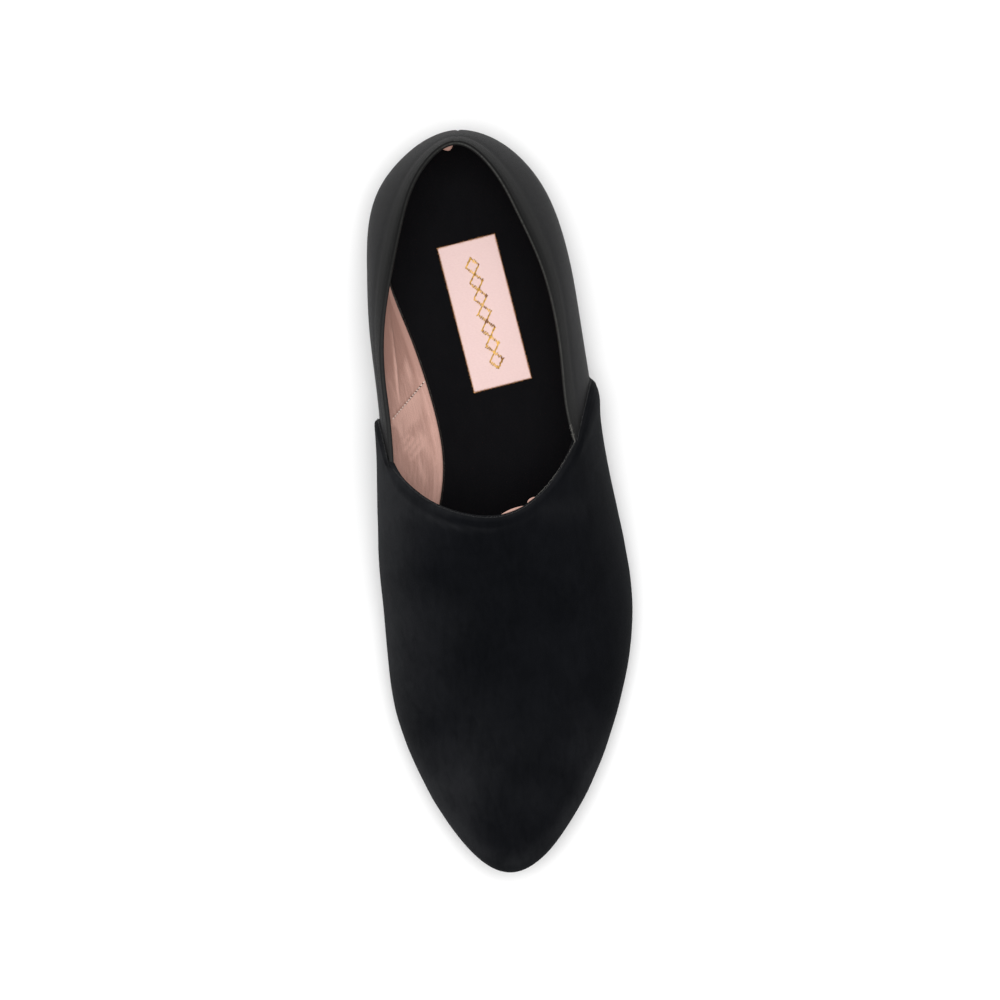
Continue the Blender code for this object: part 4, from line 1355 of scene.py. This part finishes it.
along, across = np.meshgrid(
    np.linspace(-0.5, 0.5, LABEL_STEPS[0]) * LABEL_LENGTH,
    np.linspace(-0.5, 0.5, LABEL_STEPS[1]) * LABEL_WIDTH,
    indexing="ij",
)
wave = label_wave(along, across)
tape_points = two_sides(label_place(along, across, wave + LABEL_THICK), label_place(along, across, wave))
tape_uv = np.stack([across, along], -1).reshape(-1, 2) * MM
tape_faces = wall_faces(*LABEL_STEPS, closed=False).tolist()
label = new_piece("label_tape", tape_points, tape_faces, np.vstack([tape_uv, tape_uv]))
point_outwards(label)
dress(label, WOVEN_TAPE, "label")

# %% [markdown]
# ## Stitches and threads
#
# A row of stitches is one small stitch repeated along a line, which is what Geometry Nodes are good at. The
# tree below walks a line at a fixed spacing, places a stitch at each stop, turns it by a set angle and a
# little chance, and joins all of them into one mesh with its thread's material.

# %% The stitch tree
STITCH_SIZES = ("Spacing", "Stitch Length", "Thread Thickness", "Turn", "Turn Spread", "Length Spread")
STITCH_SEGMENTS, STITCH_RINGS = 7, 5
LEAST, MOST, CHANCE = 2, 3, 1


def chance_between(tree, seed, least, most):
    """A number by chance for each stitch, between two values."""
    inputs = {"Seed": seed, LEAST: least, MOST: most}
    return add_node(tree, "FunctionNodeRandomValue", inputs, data_type="FLOAT").outputs[CHANCE]


def stitch_tree():
    tree = bpy.data.node_groups.new("stitch_row", "GeometryNodeTree")
    add_socket(tree, "INPUT", "Line", "Geometry")
    for label in STITCH_SIZES:
        add_socket(tree, "INPUT", label, "Float")
    add_socket(tree, "INPUT", "Seed", "Int")
    add_socket(tree, "INPUT", "Thread", "Material")
    add_socket(tree, "OUTPUT", "Stitches", "Geometry")
    given = tree.nodes.new("NodeGroupInput").outputs
    out = tree.nodes.new("NodeGroupOutput").inputs
    curve = add_node(tree, "GeometryNodeMeshToCurve", {"Mesh": given["Line"]})
    upright = add_node(tree, "GeometryNodeSetCurveNormal", {"Curve": curve.outputs[0]}, mode="Z_UP")
    walk = {"Curve": upright.outputs[0], "Length": given["Spacing"]}
    stops = add_node(tree, "GeometryNodeCurveToPoints", walk, mode="LENGTH").outputs
    ball = {"Segments": STITCH_SEGMENTS, "Rings": STITCH_RINGS, "Radius": 1.0}
    stitch = add_node(tree, "GeometryNodeMeshUVSphere", ball)
    spread = given["Turn Spread"]
    swing = chance_between(tree, given["Seed"], math(tree, "MULTIPLY", spread, -1.0), spread)
    turn = add_node(tree, "ShaderNodeCombineXYZ", {"Y": math(tree, "ADD", given["Turn"], swing)})
    turned = {"Rotation": stops["Rotation"], "Rotate By": turn.outputs[0]}
    rotated = add_node(tree, "FunctionNodeRotateRotation", turned, rotation_space="LOCAL")
    shorter = math(tree, "SUBTRACT", 1.0, given["Length Spread"])
    longer = math(tree, "ADD", 1.0, given["Length Spread"])
    stretch = chance_between(tree, given["Seed"], shorter, longer)
    half_length = math(tree, "MULTIPLY", math(tree, "MULTIPLY", given["Stitch Length"], 0.5), stretch)
    radius = math(tree, "MULTIPLY", given["Thread Thickness"], 0.5)
    size = add_node(tree, "ShaderNodeCombineXYZ", {"X": radius, "Y": radius, "Z": half_length})
    laid = {
        "Points": stops[0],
        "Instance": stitch.outputs[0],
        "Rotation": rotated.outputs[0],
        "Scale": size.outputs[0],
    }
    placed = add_node(tree, "GeometryNodeInstanceOnPoints", laid)
    real = add_node(tree, "GeometryNodeRealizeInstances", {0: placed.outputs[0]})
    yarn = {"Geometry": real.outputs[0], "Material": given["Thread"]}
    threaded = add_node(tree, "GeometryNodeSetMaterial", yarn)
    tree.links.new(threaded.outputs[0], out[0])
    return tree


STITCH_ROW = stitch_tree()
print("stitch tree of", len(STITCH_ROW.nodes), "nodes")


# %% Sewing
def sewn(name, lines, thread, node, slot, **sizes):
    """Stitches along lines of points in millimetres, as a plain mesh piece that is dressed in its thread."""
    points, edges = [], []
    for line in lines:
        first = len(points)
        points += to_frame(line).tolist()
        edges += [(first + i, first + i + 1) for i in range(len(line) - 1)]
    mesh = bpy.data.meshes.new(name + "_line")
    mesh.from_pydata(points, edges, [])
    carrier = put_in_scene(name + "_line", mesh)
    modifier = carrier.modifiers.new("stitches", "NODES")
    modifier.node_group = STITCH_ROW
    sockets = {s.name: s.identifier for s in STITCH_ROW.interface.items_tree if s.in_out == "INPUT"}
    for label, value in {"Thread": thread, **spaced(sizes)}.items():
        modifier[sockets[label]] = value
    evaluated = carrier.evaluated_get(bpy.context.evaluated_depsgraph_get())
    stitched = bpy.data.meshes.new_from_object(evaluated)
    bpy.data.objects.remove(carrier)
    stitched.name = name
    stitched.shade_smooth()
    print(f"{name}: {len(stitched.polygons)} faces")
    return dress(put_in_scene(name, stitched), thread, node)


# %% [markdown]
# ## The lining's seam
#
# The slanting seam in the lining is topstitched in pale pink thread, and each stitch sinks into a dark needle
# hole. Drawn dashes would stay flat, so threads and holes are two rows of the stitch above, on a line that is
# found on the leather and evened.

# %% The lining's seam
NEAREST, NEAR_SOFT = 6, 0.05
SEAM_STOPS, SEAM_EVENED = np.linspace(0.03, 0.98, 60), 4
HOLE_LIFT, THREAD_LIFT = 0.2, 0.15
FIRST_HOLE = 2


def find_on_lining(station, offset):
    """The place on the inner, lower wall that lies below a station and offset seen from above."""
    wall = lining_inner[:, lining_rows < LOW_ROWS].reshape(-1, 3)
    away = np.linalg.norm(wall[:, :2] - (station, offset), axis=-1)
    nearest = np.argsort(away)[:NEAREST]
    weight = 1 / (away[nearest] + NEAR_SOFT) ** 2
    return (wall[nearest] * weight[:, None]).sum(0) / weight.sum()


seam_plan = np.array(SEAM_START) + np.outer(SEAM_STOPS, np.subtract(SEAM_END, SEAM_START))
seam_heights = np.array([find_on_lining(*place)[2] for place in seam_plan])
evened = np.ones(2 * SEAM_EVENED + 1) / (2 * SEAM_EVENED + 1)
seam_heights = np.convolve(np.pad(seam_heights, SEAM_EVENED, mode="edge"), evened, mode="valid")
seam_line = np.column_stack([seam_plan, seam_heights + HOLE_LIFT])
sewn(
    "lining_stitches", [seam_line + (0, 0, THREAD_LIFT)], PINK_THREAD, "upper", "satin",
    Spacing=0.0013, Stitch_Length=0.0008, Thread_Thickness=0.0005,
    Turn_Spread=0.25, Length_Spread=0.12, Seed=3,
)
sewn(
    "lining_needle_holes", [seam_line[FIRST_HOLE:]], HOLE_BROWN, "upper", "satin",
    Spacing=0.0013, Stitch_Length=0.0007, Thread_Thickness=0.00045,
    Turn_Spread=0.4, Length_Spread=0.3, Seed=5,
)

# %% [markdown]
# ## Threads and pile at the vamp's edges
#
# Velvet shows its pile where it is turned over an edge, a few pale threads lie along the outer half of the
# throat, and a tack holds the outer ear to the collar. Hair could grow the pile, but it would not go with a
# mesh part, so short threads that chance turns and stretches stand for it.

# %% Threads and pile at the vamp's edges
THREADS_FROM, THREADS_LIFT = (108.0, 17.5), (-0.1, 0, 0.15)
TACK_LENGTH, TACK_RIBS, TACK_LIFT = 0.8, 3, (0, 0, 0.4)
LOWEST_FUZZ = 9

throat_rim = (vamp_outer[:, -1] + vamp_inner[:, -1]) / 2
with_threads = np.all(vamp_grid[:, -1, :2] > THREADS_FROM, axis=-1)
sewn(
    "throat_threads", [throat_rim[with_threads] + THREADS_LIFT], PALE_THREAD, "vamp", "velvet",
    Spacing=0.0013, Stitch_Length=0.0014, Thread_Thickness=0.00013,
    Turn_Spread=0.2, Length_Spread=0.6, Seed=6,
)
ear_rib = QUARTER_RIBS * PIECE_RIBS_PER_RIB
end_of_collar = satin_outer[ear_rib - TACK_RIBS : ear_rib, -1]
start_of_throat = throat_rim[np.linalg.norm(throat_rim - throat_rim[0], axis=-1) < TACK_LENGTH]
sewn(
    "ear_tack", [np.vstack([end_of_collar, start_of_throat]) + TACK_LIFT], PALE_THREAD, "vamp", "velvet",
    Spacing=0.0004, Stitch_Length=0.0011, Thread_Thickness=0.00018,
    Turn=0.9, Turn_Spread=0.8, Length_Spread=0.5, Seed=4,
)
ear_lines = [vamp_outer[end, LOWEST_FUZZ:-1] for end in (1, -2)]
sewn(
    "velvet_fuzz", [vamp_outer[1:-1, -2], *ear_lines], EDGE_PILE, "vamp", "velvet",
    Spacing=0.00042, Stitch_Length=0.0009, Thread_Thickness=0.00016,
    Turn=np.pi / 2, Turn_Spread=1.3, Length_Spread=0.6, Seed=8,
)

# %% [markdown]
# ## Label edge and woven ornament
#
# The tape's cut edges are overlocked in amber thread, with stitches square to the edge. A plain chain of
# lozenges in gold thread runs along its middle. Both are rows of the same stitch on lines that follow the
# tape, so they stay on it when its place or its wave changes.

# %% Label edge and woven ornament
EDGE_STEPS = 60
LOZENGE_LENGTH, LOZENGE_WIDTH, LOZENGE_COUNT = 5.6, 4.6, 7


def label_line(points):
    along, across = np.asarray(points, float).T
    return label_place(along, across, label_wave(along, across) + LABEL_THICK)


half_long, half_wide = LABEL_LENGTH / 2, LABEL_WIDTH / 2
corners = [(-half_long, -half_wide), (half_long, -half_wide), (half_long, half_wide), (-half_long, half_wide)]
edges = [np.linspace(a, b, EDGE_STEPS) for a, b in zip(corners, corners[1:] + corners[:1])]
sewn(
    "label_overlock", [label_line(edge) for edge in edges], AMBER_THREAD, "label", "woven_tape",
    Spacing=0.0005, Stitch_Length=0.0007, Thread_Thickness=0.00024,
    Turn=np.pi / 2, Turn_Spread=0.6, Length_Spread=0.5, Seed=7,
)
turns = np.arange(2 * LOZENGE_COUNT + 1)
zigzag_along = (turns - LOZENGE_COUNT) * LOZENGE_LENGTH / 2
zigzag_across = np.where(turns % 2 == 1, LOZENGE_WIDTH / 2, 0.0)
chains = [np.stack([zigzag_along, sign * zigzag_across], -1) for sign in (1, -1)]
sewn(
    "label_lozenges", [label_line(chain) for chain in chains], GOLD_THREAD, "label", "woven_tape",
    Spacing=0.0007, Stitch_Length=0.0012, Thread_Thickness=0.0006,
    Turn=0.7, Turn_Spread=0.5, Length_Spread=0.3, Seed=9,
)

# %% [markdown]
# ## Floor, light and camera
#
# The shoe is seen from straight above, heel at the top, turned a little so that the toe leans right. A pale
# floor, a broad soft light almost overhead, a weak one low at the left and an even sky give the soft shadow
# of a studio table.

# %% Floor and light
FLOOR_HALF = 3.0
PAPER = dict(Base_Color=(0.96, 0.96, 0.96, 1), Roughness=0.8, Specular_IOR_Level=0.1)
SOFTBOX = dict(place=(0.05, 0.1, 5.0), size=3.0, watts=190.0)
WINDOW = dict(place=(-1.8, 0.2, 1.5), size=1.6, watts=3.0)
SKY = {"Color": (1, 1, 1, 1), "Strength": 0.65}

floor_corners = FLOOR_HALF * np.array([(-1, -1, 0), (1, -1, 0), (1, 1, 0), (-1, 1, 0)])
floor = new_piece("floor", floor_corners, [(0, 1, 2, 3)])
floor.data.materials.append(new_finish("floor_paper", **PAPER)[0])


def soft_light(name, place, size, watts):
    """A square light that faces the shoe."""
    lamp = bpy.data.lights.new(name, "AREA")
    lamp.shape = "SQUARE"
    lamp.size = size
    lamp.energy = watts
    light = put_in_scene(name, lamp)
    light.location = place
    light.rotation_mode = "QUATERNION"
    light.rotation_quaternion = (-light.location.normalized()).to_track_quat("-Z", "Y")


soft_light("softbox", **SOFTBOX)
soft_light("window", **WINDOW)
bpy.context.scene.view_settings.view_transform = "Standard"
world = bpy.context.scene.world or bpy.data.worlds.new("studio")
bpy.context.scene.world = world
world.use_nodes = True
for socket, value in SKY.items():
    world.node_tree.nodes["Background"].inputs[socket].default_value = value
print("floor, two lights and an even sky")

# %% Camera
FRAME_WIDTH = 0.3464
CAMERA_HEIGHT, SIGHT_HEIGHT = 14.0, 0.02
CAMERA_ROLL = np.radians(-4.08)
SENSOR = 36.0
SIGHT_END = 50

camera_data = bpy.data.cameras.new("camera")
camera_data.sensor_width = SENSOR
camera_data.lens = SENSOR * (CAMERA_HEIGHT - SIGHT_HEIGHT) / FRAME_WIDTH
camera_data.clip_end = SIGHT_END
camera = put_in_scene("camera", camera_data)
camera.location = (0, 0, CAMERA_HEIGHT)
camera.rotation_euler = (0, 0, CAMERA_ROLL)
bpy.context.scene.camera = camera
print(f"lens {camera_data.lens:.0f} mm at {CAMERA_HEIGHT} m")
